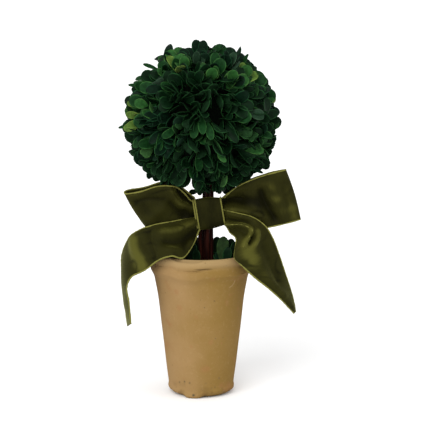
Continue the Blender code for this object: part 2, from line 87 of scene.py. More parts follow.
class Shader:
    """A Principled material, with short ways to add procedural nodes to it."""

    def __init__(self, name: str, colour: Colour, roughness: float, **sockets: float | tuple) -> None:
        """Make the material and set the sockets that are the same all over.

        Args:
            name: The material's name.
            colour: Base colour, linear.
            roughness: Roughness of the surface.
            sockets: Other Principled sockets, with _ for a space in their names.
        """
        self.material = bpy.data.materials.new(name)
        self.material.use_nodes = True
        self.material.diffuse_color = (*colour, 1.0)
        self.tree = self.material.node_tree
        self.surface = self.tree.nodes["Principled BSDF"].inputs
        self.own = self.add("ShaderNodeTexCoord", {}).outputs["Object"]
        for socket, value in {"Base Color": (*colour, 1.0), "Roughness": roughness, **sockets}.items():
            self.feed(self.surface[socket.replace("_", " ")], value)

    def feed(self, socket: Socket, value: Value) -> None:
        """Link a socket to another one, or set its value.

        Args:
            socket: The socket.
            value: The other socket, or the value.
        """
        if isinstance(value, bpy.types.NodeSocket):
            self.tree.links.new(value, socket)
        else:
            socket.default_value = value

    def add(self, kind: str, inputs: dict[str | int, Value], **settings: str) -> bpy.types.Node:
        """Add a node.

        Args:
            kind: The node's type.
            inputs: Values or sockets for its inputs, by name or number.
            settings: Values for the node's own settings.

        Returns:
            The node.
        """
        node = self.tree.nodes.new(kind)
        for name, value in settings.items():
            setattr(node, name, value)
        for socket, value in inputs.items():
            self.feed(node.inputs[socket], value)
        return node

    def stretched(self, source: str, stretch: tuple) -> Socket:
        """The surface's coordinates from a source, Object or UV, stretched along each axis."""
        origin = self.add("ShaderNodeTexCoord", {}).outputs[source]
        return self.add("ShaderNodeMapping", {"Vector": origin, "Scale": stretch}).outputs["Vector"]

    def noise(self, scale: float, detail: float = 3.0, place: Socket | None = None) -> Socket:
        """Soft noise from 0 to 1, of a scale in patches per metre."""
        inputs = {"Vector": place or self.own, "Scale": scale, "Detail": detail}
        return self.add("ShaderNodeTexNoise", inputs).outputs["Fac"]

    def cloud(self, scale: float, detail: float, low: float, high: float) -> Socket:
        """Patches of soft noise: 0 where it is at or under low, and 1 from high on."""
        return self.span(self.noise(scale, detail), low, high)

    def spots(self, scale: float, size: float) -> Socket:
        """Scattered round spots, 1 at their centres and 0 beyond a share of their spacing."""
        distance = self.add("ShaderNodeTexVoronoi", {"Vector": self.own, "Scale": scale}).outputs["Distance"]
        return self.span(distance, size, 0.0)

    def span(self, value: Socket, low: float, high: float) -> Socket:
        """A value drawn out smoothly, so that it is 0 at low and 1 at high."""
        inputs = {"Value": value, "From Min": low, "From Max": high}
        return self.add("ShaderNodeMapRange", inputs, interpolation_type="SMOOTHSTEP").outputs["Result"]

    def far(self, spot: tuple) -> Socket:
        """The distance of the surface from a spot, in metres."""
        return self.add("ShaderNodeVectorMath", {0: self.own, 1: spot}, operation="DISTANCE").outputs["Value"]

    def off(self, value: Socket, middle: float) -> Socket:
        """How far a value is from a middle value, either way."""
        return self.add("ShaderNodeMath", {0: self.plus(value, -middle)}, operation="ABSOLUTE").outputs[0]

    def times(self, first: Socket, second: Socket | float) -> Socket:
        """The product of two values."""
        return self.add("ShaderNodeMath", {0: first, 1: second}, operation="MULTIPLY").outputs[0]

    def plus(self, first: Socket, second: Socket | float) -> Socket:
        """The sum of two values."""
        return self.add("ShaderNodeMath", {0: first, 1: second}, operation="ADD").outputs[0]

    def blend(self, share: Socket, first: Colour | Socket, second: Colour | Socket) -> Socket:
        """A colour between two.

        Args:
            share: How far it is from the first to the second, from 0 to 1.
            first: One colour.
            second: The other.

        Returns:
            The colour.
        """
        ends = [(*end, 1.0) if isinstance(end, tuple) else end for end in (first, second)]
        inputs = {"Factor": share, 6: ends[0], 7: ends[1]}
        return self.add("ShaderNodeMix", inputs, data_type="RGBA").outputs[2]

    def paint(self, colour: Socket) -> None:
        """Use a colour that varies over the surface as the base colour."""
        self.feed(self.surface["Base Color"], colour)

    def coat(self, mask: Socket, share: Socket | float, colour: Colour) -> None:
        """Lay a colour over what is painted so far, by a mask times a share."""
        below = self.surface["Base Color"].links[0].from_socket
        self.paint(self.blend(self.times(mask, share), below, colour))

    def relief(self, height: Socket, depth: float, strength: float = 1.0) -> None:
        """Use a height that varies over the surface as its bump, of a depth in metres."""
        inputs = {"Height": height, "Distance": depth, "Strength": strength}
        self.feed(self.surface["Normal"], self.add("ShaderNodeBump", inputs).outputs["Normal"])


class Finish(ABC):
    """A finish of a name and a material slot, made into a material on its first use."""

    name: str
    slot: Slot

    @abstractmethod
    def make(self) -> Material:
        """Make the material."""

    @cache
    def material(self) -> Material:
        """The finish's one material."""
        return self.make()


@dataclass(frozen=True)
class ClayFinish(Finish):
    """Unglazed tan clay, mottled, with reddish blotches, specks, pits, stains and a darker foot.

    Marks of a colour lie at single places, each with its size. Flecks are scattered spots, each
    kind with its scale, size, share and colour. The right side and the groove under the lip carry
    painted shade, and the lip a painted highlight.
    """

    name: str = "clay"
    slot: Slot = Slot.CLAY
    tan: Colour = (0.274, 0.170, 0.073)
    yellow: Colour = (0.194, 0.116, 0.030)
    red: Colour = (0.250, 0.120, 0.047)
    speck: Colour = (0.075, 0.042, 0.016)
    stain: Colour = (0.050, 0.042, 0.026)
    chalk: Colour = (0.300, 0.205, 0.095)
    roughness: float = 0.88
    # Painted shade: where the clay turns towards the darker yellow on its right side.
    shaded_right_side: tuple = (-0.040, 0.030)
    # Heights of the painted highlight on the lip.
    painted_lip_highlight: tuple = (0.1150, 0.1225)
    # Heights over which the clay grows darker towards the foot.
    darker_foot: tuple = (0.018, 0.003)
    # Where the painted shade of the groove lies: its height and its middle.
    groove_shade_height: float = 0.1178
    groove_middle: float = 0.0022
    scratch: tuple = (0.0276, -0.0290, 0.1017)
    scratch_centre: tuple = (0.0226, -0.0310, 0.1067)
    scratch_radius: float = 0.0073
    mark_blur: float = 0.0010
    marks: tuple = (
        (red, 0.4, (
            ((-0.0184, -0.0326, 0.0817), 0.0042), ((-0.021, -0.0341, 0.0963), 0.0036),
            ((-0.0084, -0.0323, 0.0475), 0.0018), ((0.0087, -0.0326, 0.0511), 0.003),
            ((0.01, 0.035, 0.07), 0.005), ((-0.03, 0.015, 0.05), 0.004),
        )),
        (stain, 0.75, (
            ((0.0117, -0.0365, 0.0888), 0.0009), ((0.0031, -0.0375, 0.0833), 0.0008),
            ((0.0193, -0.0284, 0.0547), 0.0007), ((0.0127, -0.0318, 0.0546), 0.0007),
            ((0.0223, -0.0388, 0.1203), 0.0009), ((-0.0144, -0.0255, 0.0145), 0.0013),
            ((-0.0099, -0.0276, 0.0137), 0.0012), ((-0.0189, -0.0219, 0.0131), 0.0012),
            ((0.0157, -0.0251, 0.0176), 0.0012), ((0.0122, -0.0261, 0.0096), 0.001),
            ((0.0205, -0.0205, 0.003), 0.0024), ((-0.02, 0.027, 0.06), 0.0009),
            ((0.03, 0.018, 0.085), 0.0008),
        )),
    )
    flecks: tuple = ((95.0, 0.085, 0.7, speck), (70.0, 0.095, 0.5, red), (240.0, 0.12, 0.4, speck))

    def make(self) -> Material:
        """Make the material: coats of colour over the tan, from the broadest to the finest.

        Returns:
            The material.
        """
        clay = Shader(self.name, self.tan, self.roughness, Specular_IOR_Level=0.08)
        across, _, height = clay.add("ShaderNodeSeparateXYZ", {0: clay.own}).outputs
        # Painted shade: the right side is blended towards the darker yellow, as light falls from the left.
        # The noise adds the clay's own mottling.
        side = clay.times(clay.span(across, *self.shaded_right_side), 0.7)
        fired_and_shaded = clay.plus(side, clay.times(clay.noise(scale=30.0, detail=4.0), 0.9))
        clay.paint(clay.blend(clay.span(fired_and_shaded, low=0.30, high=1.25), self.tan, self.yellow))
        clay.coat(clay.cloud(scale=58.0, detail=2.0, low=0.58, high=0.74), 0.5, self.red)
        uneven = clay.times(clay.noise(scale=700.0), 0.0014)
        for colour, share, spots in self.marks:
            for place, size in spots:
                near = clay.span(clay.plus(clay.far(place), uneven), size + self.mark_blur, size * 0.4)
                clay.coat(near, share, colour)
        clay.coat(clay.cloud(scale=420.0, detail=4.0, low=0.52, high=0.76), 0.22, self.chalk)
        # Painted highlight: the top of the lip is blended towards the pale chalk colour, where it faces the
        # light.
        clay.coat(clay.span(height, *self.painted_lip_highlight), 0.75, self.chalk)
        for scale, size, share, colour in self.flecks:
            clay.coat(clay.spots(scale, size), share, colour)
        # Darker towards the foot, in blotches and spots of the dark colours.
        foot = clay.span(height, *self.darker_foot)
        foot_blotches = clay.cloud(scale=130.0, detail=4.0, low=0.45, high=0.70)
        clay.coat(foot_blotches, clay.times(foot, 0.35), self.speck)
        clay.coat(clay.spots(scale=120.0, size=0.22), foot, self.stain)
        # Painted shade: a dark line in the groove under the lip, fading away from the middle.
        groove = clay.span(clay.off(height, self.groove_shade_height), low=0.0010, high=0.0002)
        stretch = clay.span(clay.off(across, self.groove_middle), low=0.0100, high=0.0030)
        clay.coat(clay.times(groove, stretch), 0.7, self.speck)
        from_arc = clay.off(clay.far(self.scratch_centre), self.scratch_radius)
        near = clay.span(clay.far(self.scratch), low=0.0055, high=0.0035)
        clay.coat(clay.times(clay.span(from_arc, low=0.0006, high=0.0002), near), 0.75, self.chalk)
        grain = clay.times(clay.noise(scale=1900.0, detail=5.0), 0.5)
        pits = clay.times(clay.spots(scale=260.0, size=0.17), -1.0)
        clay.relief(clay.plus(grain, pits), depth=0.00022, strength=0.8)
        return clay.material


@dataclass(frozen=True)
class BarkFinish(Finish):
    """Smooth dark bark with fine lengthwise cracks and paler ridges."""

    name: str
    groove: Colour
    ridge: Colour
    roughness: float = 0.55
    slot: Slot = Slot.BARK

    def make(self) -> Material:
        """Make the material.

        Returns:
            The material.
        """
        bark = Shader(self.name, self.ridge, self.roughness, Specular_IOR_Level=0.04)
        streaks = bark.noise(scale=650.0, place=bark.stretched("Object", (1.0, 1.0, 0.06)))
        bark.paint(bark.blend(bark.span(streaks, low=0.34, high=0.68), self.groove, self.ridge))
        bark.relief(streaks, depth=0.0002, strength=0.5)
        return bark.material


@dataclass(frozen=True)
class VelvetFinish(Finish):
    """Cotton velvet: an olive pile with painted light and shade: deep, plain and lit colours.

    A mesh attribute says where: -1 full painted shade, 0 plain, 1 full painted highlight. Random
    patches and streaks of the pile are added to it.
    """

    name: str
    deep: Colour
    plain: Colour
    lit: Colour
    sheen: Colour
    sheen_weight: float = 0.35
    roughness: float = 0.62
    slot: Slot = Slot.VELVET

    def make(self) -> Material:
        """Make the material. The pile's streaks follow the ribbon, by its own UV map.

        Returns:
            The material.
        """
        velvet = Shader(
            self.name, self.plain, self.roughness, Specular_IOR_Level=0.03, Sheen_Weight=self.sheen_weight,
            Sheen_Roughness=0.35, Sheen_Tint=(*self.sheen, 1.0),
        )
        streaks = velvet.noise(scale=700.0, place=velvet.stretched("UV", (1.0, 0.22, 1.0)))
        patches = velvet.noise(scale=60.0, detail=2.0)
        uneven = velvet.plus(velvet.times(patches, 0.5), velvet.times(streaks, 0.35))
        # Painted light and shade: the attribute, with random patches and streaks of the pile, picks the
        # colour from the deep one, which is painted shade, through the plain one to the lit one, which is a
        # painted highlight.
        tone = velvet.add("ShaderNodeAttribute", {}, attribute_name=SHADE_AND_PILE).outputs["Fac"]
        tone = velvet.plus(velvet.plus(tone, uneven), -0.42)
        colour = velvet.blend(velvet.span(tone, low=-1.0, high=0.0), self.deep, self.plain)
        velvet.paint(velvet.blend(velvet.span(tone, low=0.0, high=1.0), colour, self.lit))
        pile = velvet.plus(velvet.noise(scale=3800.0, detail=2.0), velvet.times(streaks, 0.6))
        velvet.relief(pile, depth=0.00020, strength=0.45)
        return velvet.material


@dataclass(frozen=True)
class MossFinish(Finish):
    """Matted dark stuff: dry foam, or the moss over it."""

    name: str
    dark: Colour
    light: Colour
    slot: Slot = Slot.LEAVES

    def make(self) -> Material:
        """Make the material.

        Returns:
            The material.
        """
        moss = Shader(self.name, self.dark, 0.95, Specular_IOR_Level=0.03)
        tufts = moss.noise(scale=650.0, detail=6.0)
        moss.paint(moss.blend(moss.span(tufts, low=0.42, high=0.68), self.dark, self.light))
        moss.relief(tufts, depth=0.0012)
        return moss.material


@dataclass(frozen=True)
class LeafFinish(Finish):
    """A leaf surface of one colour, mottled by a quarter each way, with faint wrinkles."""

    name: str
    colour: Colour
    roughness: float
    slot: Slot = Slot.LEAVES

    def make(self) -> Material:
        """Make the material.

        Returns:
            The material.
        """
        leaf = Shader(self.name, self.colour, self.roughness, Specular_IOR_Level=0.045)
        ends = [tuple(channel * factor for channel in self.colour) for factor in (0.76, 1.24)]
        leaf.paint(leaf.blend(leaf.cloud(scale=330.0, detail=2.0, low=0.3, high=0.7), *ends))
        leaf.relief(leaf.noise(scale=900.0, detail=2.0), depth=0.0002, strength=0.5)
        return leaf.material


@dataclass(frozen=True)
class FloorFinish(Finish):
    """Pale paper, mottled by a hundredth."""

    name: str = "studio_floor"
    colour: Colour = (0.93, 0.93, 0.93)
    shade: Colour = (0.9207, 0.9207, 0.9207)

    def make(self) -> Material:
        """Make the material.

        Returns:
            The material.
        """
        paper = Shader(self.name, self.colour, 0.9, Specular_IOR_Level=0.0)
        paper.paint(paper.blend(paper.noise(scale=3.0, detail=2.0), self.shade, self.colour))
        return paper.material


@dataclass(frozen=True)
class LeafTint:
    """The colours of one batch of preserved leaves, and its share of all the sprays."""

    name: str
    face: Colour
    back: Colour
    edge: Colour
    share: float
    roughness: float = 0.46

    def finishes(self) -> list[LeafFinish]:
        """The finishes of the leaf's face, back and edge."""
        parts = (("face", self.face, self.roughness), ("back", self.back, 0.62), ("edge", self.edge, 0.5))
        return [LeafFinish(f"leaf_{self.name}_{part}", *look) for part, *look in parts]


class Tint(Enum):
    """The batches of leaves, by colour."""

    DEEP = LeafTint("deep", (0.0022, 0.011, 0.0034), (0.005, 0.018, 0.0064), (0.011, 0.046, 0.013), 0.42)
    PINE = LeafTint("pine", (0.002, 0.01, 0.0042), (0.0044, 0.016, 0.0074), (0.008, 0.038, 0.014), 0.25)
    MID = LeafTint("mid", (0.006, 0.031, 0.0076), (0.011, 0.036, 0.011), (0.024, 0.082, 0.02), 0.25)
    FRESH = LeafTint("fresh", (0.017, 0.068, 0.015), (0.024, 0.068, 0.019), (0.045, 0.12, 0.028), 0.055)
    SMOKE = LeafTint("smoke", (0.014, 0.036, 0.018), (0.022, 0.045, 0.026), (0.03, 0.06, 0.033), 0.025, 0.55)
    LIME = LeafTint("lime", (0.06, 0.112, 0.019), (0.07, 0.115, 0.026), (0.12, 0.19, 0.038), 0.0)
    OLIVE = LeafTint("olive", (0.012, 0.029, 0.007), (0.016, 0.03, 0.01), (0.02, 0.044, 0.012), 0.0, 0.58)


TINTS = list(Tint)
CLAY = ClayFinish()
FLOOR = FloorFinish()
STICK_BARK = BarkFinish("stick_bark", (0.0070, 0.0017, 0.0011), (0.036, 0.0080, 0.0046))
TWIG_BARK = BarkFinish("twig_bark", (0.003, 0.004, 0.002), (0.012, 0.014, 0.005))
VELVET = VelvetFinish(
    "velvet_pile", deep=(0.0042, 0.0041, 0.0007), plain=(0.0162, 0.0158, 0.0026), lit=(0.063, 0.0615, 0.011),
    sheen=(0.42, 0.42, 0.09),
)
SELVEDGE = VelvetFinish(
    "velvet_selvedge", deep=(0.060, 0.058, 0.014), plain=(0.150, 0.146, 0.034), lit=(0.240, 0.235, 0.060),
    sheen=(0.4, 0.4, 0.2), sheen_weight=0.15,
)
# Foam of the ball's core, near black: partly its own colour, partly painted shade for the dark gaps between
# the leaves.
SHADED_CORE_FOAM = MossFinish("core_foam", (0.0008, 0.0014, 0.0007), (0.0020, 0.0040, 0.0016))
# Moss in the pot's mouth, near black: partly its own colour, partly painted shade for the dark of the mouth.
SHADED_POT_MOSS = MossFinish("pot_moss", (0.0016, 0.0028, 0.0010), (0.0060, 0.0100, 0.0030))
PLUG_FOAM = MossFinish("plug_foam", (0.030, 0.020, 0.010), (0.070, 0.050, 0.028), Slot.FOAM)


def unit(vectors: Array) -> Array:
    """Vectors of length 1 in the same directions."""
    return vectors / np.linalg.norm(vectors, axis=-1, keepdims=True)


def ramp(value: Array, low: float, high: float) -> Array:
    """A value drawn out evenly, so that it is 0 at low and 1 at high, and level beyond them."""
    return np.clip((value - low) / (high - low), 0, 1)


def eased(value: Array, low: float, high: float) -> Array:
    """A value drawn out by a smooth cubic step, so that it is 0 at low and 1 at high."""
    share = ramp(value, low, high)
    return share * share * (3 - 2 * share)


def bell(distance: Array, width: float) -> Array:
    """A bell curve: e to the power of minus the square of the distance over the width."""
    return np.exp(-((distance / width) ** 2))


def circle(count: int) -> Array:
    """Angles spread evenly round a circle, from 0 on."""
    return np.arange(count) * math.tau / count


def beside(angle: Array, middle: float, whole: float = math.tau) -> Array:
    """How far angles are from a middle one, up to half a turn either way."""
    return (angle - middle + whole / 2) % whole - whole / 2


def square_to(vectors: Array, axis: Array) -> Array:
    """Unit vectors square to an axis, each the vector less its part along the axis."""
    return unit(vectors - axis * np.sum(vectors * axis, axis=-1, keepdims=True))


def turned_about(vectors: Array, axis: Array, angle: Array) -> Array:
    """Vectors square to an axis, turned about it by an angle."""
    return vectors * np.cos(angle)[..., None] + np.cross(axis, vectors) * np.sin(angle)[..., None]


def spread_directions(count: int, turn: float) -> Array:
    """Directions spread evenly over a ball, each a golden angle on from the last.

    Args:
        count: How many.
        turn: Angle of the first.

    Returns:
        Unit vectors, from the top down.
    """
    number = np.arange(count)
    height = 1 - 2 * (number + 0.5) / count
    level = np.sqrt(1 - height**2)
    angle = GOLDEN_ANGLE * number + turn
    return np.stack([level * np.cos(angle), level * np.sin(angle), height], axis=-1)


def smooth_route(known: Array, place: Array) -> Array:
    """Points on a Catmull-Rom spline through known points.

    Between two known points the curve is the cubic that passes through both and leaves each in
    the direction of its two neighbours. The ends run on straight.

    Args:
        known: The points, on the first axis.
        place: Where along them, 0 at the first and one more at each next.

    Returns:
        One point for each place.
    """
    padded = np.concatenate([2 * known[:1] - known[1:2], known, 2 * known[-1:] - known[-2:-1]])
    index = np.clip(place.astype(int), 0, len(known) - 2)
    share = (place - index).reshape((-1,) + (1,) * (known.ndim - 1))
    before, start, end, after = (padded[index + step] for step in range(4))
    return 0.5 * (
        2 * start
        + (end - before) * share
        + (2 * before - 5 * start + 4 * end - after) * share**2
        + (3 * start - before - 3 * end + after) * share**3
    )


@dataclass(frozen=True)
class Ripples:
    """A smooth random relief: the mean of sine waves that run in random directions.

    Its size is how far it reaches either way, its scale the length of the mean wave in metres.
    """

    size: float
    scale: float
    seed: int
    waves: int = 14
    longest: float = 0.6
    shortest: float = 1.6

    def at(self, points: Array) -> Array:
        """The relief's height at each point.

        Args:
            points: Places, in metres.

        Returns:
            One height for each point.
        """
        chance = np.random.default_rng(self.seed)
        ways = unit(chance.normal(size=(self.waves, 3)))
        runs = ways * chance.uniform(self.longest, self.shortest, (self.waves, 1)) * math.tau / self.scale
        waves = np.sin(points @ runs.T + chance.uniform(0, math.tau, self.waves))
        return self.size * waves.sum(-1) / math.sqrt(self.waves)


def grid_quads(grid: Array, closed: bool = False) -> Array:
    """The faces of a grid of points, numbered row by row.

    Args:
        grid: The points.
        closed: Whether each row closes on itself.

    Returns:
        Four corner numbers for each face.
    """
    rows, columns = grid.shape[:2]
    row = np.arange(rows - 1)[:, None]
    column = np.arange(columns if closed else columns - 1)[None, :]
    after = (column + 1) % columns
    places = ((row, column), (row, after), (row + 1, after), (row + 1, column))
    return np.stack([down * columns + over for down, over in places], axis=-1).reshape(-1, 4)


def repeated(quads: Array, corners: int, count: int) -> Array:
    """The faces of a shape that has a number of corners, repeated with corners of their own."""
    return (quads[None] + (np.arange(count) * corners)[:, None, None]).reshape(-1, 4)


def make_piece(
    name: str, node: str | None, finishes: list[Finish], points: Array, quads: Array | None = None,
    weld: bool = True, slots: Array | None = None, uv: Array | None = None,
    tone: Array | None = None,
) -> Piece:
    """Make a smooth mesh piece from whole arrays, and report it.

    Args:
        name: The piece's name.
        node: The CAD node that it stands for, or none for the studio's floor.
        finishes: The piece's finishes, each added as one of its materials, in order.
        points: Corner places, in metres.
        quads: Four corner numbers for each face, or none for a grid that closes round.
        weld: Whether points at one place are merged, which closes poles and seams.
        slots: For each face, the number of its finish.
        uv: For each point, its place on the flat pattern.
        tone: For each point, its painted light and shade, with random marks of the velvet's pile.

    Returns:
        The object, at the origin.
    """
    quads = grid_quads(points, closed=True) if quads is None else quads
    mesh = bpy.data.meshes.new(name)
    flat = points.reshape(-1, 3)
    mesh.vertices.add(len(flat))
    mesh.vertices.foreach_set("co", flat.astype(np.float32).ravel())
    mesh.loops.add(quads.size)
    mesh.loops.foreach_set("vertex_index", quads.astype(np.int32).ravel())
    mesh.polygons.add(len(quads))
    mesh.polygons.foreach_set("loop_start", np.arange(0, quads.size, 4, dtype=np.int32))
    if slots is not None:
        mesh.polygons.foreach_set("material_index", slots.astype(np.int32))
    if uv is not None:
        layer = mesh.uv_layers.new(name="UVMap")
        layer.uv.foreach_set("vector", uv.reshape(-1, 2)[quads.ravel()].astype(np.float32).ravel())
    if tone is not None:
        marks = mesh.attributes.new(SHADE_AND_PILE, "FLOAT", "POINT")
        marks.data.foreach_set("value", tone.astype(np.float32).ravel())
    mesh.update(calc_edges=True)
    if weld:
        shape = bmesh.new()
        shape.from_mesh(mesh)
        bmesh.ops.remove_doubles(shape, verts=shape.verts, dist=TINY)
        shape.to_mesh(mesh)
        shape.free()
    mesh.shade_smooth()
    for finish in finishes:
        mesh.materials.append(finish.material())
    piece = bpy.data.objects.new(name, mesh)
    bpy.context.scene.collection.objects.link(piece)
    if node is None:
        return piece
    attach(piece, BODY)
    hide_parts(node)
    LOG.info("%s: %d faces, stands for %s", name, len(mesh.polygons), node)
    return piece


def turned(profile: Array, columns: int) -> Array:
    """A surface turned about the vertical axis: each profile point carried round in a circle.

    Args:
        profile: Radius and height of each row, the outside first and upwards, in metres.
        columns: Points in each circle.

    Returns:
        The grid of points.
    """
    angle = circle(columns)
    radius, height = profile[:, :1], profile[:, 1:]
    return np.stack(np.broadcast_arrays(radius * np.cos(angle), radius * np.sin(angle), height), axis=-1)


def tubes(routes: Array, radii: Array, sides: int) -> tuple[Array, Array]:
    """Round tubes along many routes at once, each a circle carried square to its route.

    The first and last circles shrink to points, so a weld closes the ends. Each circle is turned
    by the axis that its route at no point runs along.

    Args:
        routes: Centre lines, tube by tube and point by point.
        radii: Radius at each point of each route.
        sides: Sides of each circle.

    Returns:
        Points and faces of all the tubes.
    """
    along = unit(np.gradient(routes, axis=1))
    most = np.abs(along).max(axis=1, keepdims=True)
    least = np.eye(3)[np.argmin(most, axis=-1)]
    side = square_to(np.broadcast_to(least, along.shape), along)
    other = np.cross(along, side)
    centre, side, other = (
        np.concatenate([part[:, :1], part, part[:, -1:]], axis=1)[:, :, None]
        for part in (routes, side, other)
    )
    angle = circle(sides)[:, None]
    ring = side * np.cos(angle) + other * np.sin(angle)
    points = centre + ring * np.pad(radii, ((0, 0), (1, 1)))[:, :, None, None]
    quads = grid_quads(points[0], closed=True)
    return points.reshape(-1, 3), repeated(quads, points[0, ..., 0].size, len(points))


@dataclass(frozen=True)
class RingMark:
    """A groove or a ridge round a stretch of the pot: a bell curve of the height and of the angle.

    A size below 0 is a groove.
    """

    angle: float
    spread: float
    height: float
    breadth: float
    size: float


@dataclass
class ClayPot:
    """The turned clay pot: a tapered wall with a rounded lip, a groove and a rough foot."""

    outside: tuple = (
        (0, 0), (14, 0), (19.5, 0.2), (23.6, 0.9), (26.4, 2), (28.3, 3.6), (29.1, 5.8), (28.7, 9.6),
        (29.8, 18), (31, 27), (33.1, 45), (35.3, 63), (37.8, 84.7), (40.1, 98), (41.4, 104.6),
        (43.1, 108.4), (44.2, 110.6), (44.6, 113.4), (44.4, 116.2), (43.9, 117.6), (44.1, 118.8),
        (44.7, 120.6), (44.9, 122.6), (44.5, 124.6), (43.6, 125.6), (42.6, 125.8),
    )
    inside: tuple = (
        (41.6, 125.4), (40.4, 124), (39.7, 121), (38.6, 112), (24.8, 9), (23.4, 7), (0, 7),
    )
    rows_to_a_point: int = 6
    columns: int = 288
    foot_height: float = 0.0075
    foot_radii: tuple = (0.0235, 0.0265)
    lump_angle: float = math.radians(-105)
    lump_spread: float = math.radians(17)
    lump_size: float = 0.0028
    lump_drop: float = 0.0024
    lump_inside: float = 0.015
    wear: Ripples = Ripples(0.00055, 0.013, 3)
    chips: Ripples = Ripples(0.0007, 0.009, 5)
    out_of_round: Ripples = Ripples(0.00022, 0.075, 7)
    round_from: float = 0.020
    marks: tuple = (
        RingMark(math.radians(-93), 0.24, 0.1178, 0.0007, -0.00085),
        RingMark(math.radians(-40), 0.32, 0.1102, 0.0008, 0.0007),
    )

    def surface(self) -> Array:
        """The wall: the smooth profile turned round, then moved in or out.

        It moves by a slow wave of noise, by wear and a lump of clay that fade above the foot, by
        a groove under the lip at the front and by a ridge. Chips and the lump also move its
        underside up or down.

        Returns:
            The grid of points.
        """
        known = np.array(self.outside + self.inside) * MM
        place = np.linspace(0, len(known) - 1, (len(known) - 1) * self.rows_to_a_point + 1)
        profile = np.maximum(smooth_route(known, place), 0.0)
        radius, height = profile[:, :1], profile[:, 1:]
        outer = (place < len(self.outside) - 0.5)[:, None]
        grid, angle = turned(profile, self.columns), circle(self.columns)
        foot = ramp(height, self.foot_height, 0.0) * ramp(radius, *self.foot_radii)
        lump = np.exp(-((beside(angle, self.lump_angle) / self.lump_spread) ** 4))
        moved = foot * (self.lump_size * lump + self.wear.at(grid))
        moved += self.out_of_round.at(grid) * ramp(radius, 0.0, self.round_from)
        for mark in self.marks:
            stretch = bell(beside(angle, mark.angle), mark.spread)
            moved += mark.size * bell(height - mark.height, mark.breadth) * stretch
        grid[..., :2] += (outer * moved)[..., None] * np.stack([np.cos(angle), np.sin(angle)], axis=-1)
        grid[..., 2] += outer * foot * np.clip(self.chips.at(grid), 0, self.chips.size)
        drop = np.minimum(grid[..., 2], self.lump_drop)
        grid[..., 2] -= outer * (radius > self.lump_inside) * lump * drop
        return grid

    def build(self) -> Piece:
        """Make the pot, and return it."""
        return make_piece("pot_clay", "pot", [CLAY], self.surface())


@dataclass(frozen=True)
class Stick:
    """One stick: X and Y of its foot and top, and its radius there, in millimetres.

    Its knuckle, under the knot, is how far it stands out to the left and how much it swells.
    """

    name: str
    node: str
    foot: tuple
    top: tuple
    radii: tuple
    knuckle: tuple = (0.0, 0.0)


@dataclass
class StickBundle:
    """The sticks between pot and ball, tapered and leaning, with the relief of their bark.

    The thin one behind the left stick stands for the same CAD node.
    """

    sticks: tuple = (
        Stick("stick_left", "stem_left", (-0.6, 0.4), (2.6, 1.3), (1.85, 0.75), (1.3, 0.42)),
        Stick("stick_back", "stem_left", (1.8, 3.5), (3.0, 4.2), (1.35, 1.05)),
        Stick("stick_middle", "stem_middle", (5.0, -1.2), (5.9, -1.4), (2.45, 2.15)),
        Stick("stick_right", "stem_right", (8.9, 2.9), (9.0, 2.6), (2.10, 1.85)),
    )
    knuckle_height: float = 0.1365
    knuckle_spread: float = 0.0085
    rows: int = 90
    sides: int = 40
    wave: float = 0.00022
    bends: float = 2.2
    cracks: Ripples = Ripples(0.035, 0.0016, 17)
    crack_stretch: tuple = (1, 1, 0.12)

    def build(self) -> list[Piece]:
        """Make the sticks, and return them."""
        return [self.stick(stick) for stick in self.sticks]

    def stick(self, stick: Stick) -> Piece:
        """Make one stick: a circle carried up a slightly waving line.

        The knuckle is a bell curve of the height, added to the line and to the radius. The
        radius also varies by a share of itself, by ripples stretched along the stick, which
        gives long cracks and ridges.

        Args:
            stick: The stick.

        Returns:
            The piece.
        """
        low, high = (corner.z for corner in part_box(stick.node))
        share = np.linspace(0, 1, self.rows)
        height = low + (high - low) * share
        knuckle = bell(height - self.knuckle_height, self.knuckle_spread)
        wave = self.wave * np.sin(self.bends * math.pi * share + stick.radii[0])
        x, y = (np.interp(share, (0, 1), ends) for ends in zip(stick.foot, stick.top))
        route = np.stack([MM * (x - stick.knuckle[0] * knuckle) + wave, MM * y - wave / 2, height], axis=-1)
        radius = MM * (np.interp(share, (0, 1), stick.radii) + stick.knuckle[1] * knuckle)
        points, quads = tubes(route[None], radius[None], self.sides)
        centre = np.repeat(np.concatenate([route[:1], route, route[-1:]]), self.sides, axis=0)
        cracks = self.cracks.at(points * self.crack_stretch)
        points = centre + (points - centre) * (1 + cracks)[:, None]
        return make_piece(stick.name, stick.node, [STICK_BARK], points, quads)


@dataclass
class Fold:
    """A ridge or hollow in the ribbon, along a line given by rungs along it and shares across it.

    Its height may be 0; its last field is painted highlight (1) or painted shade (-1) along it.
    """

    line: tuple
    height: float
    width: float
    tone: float = 0.0


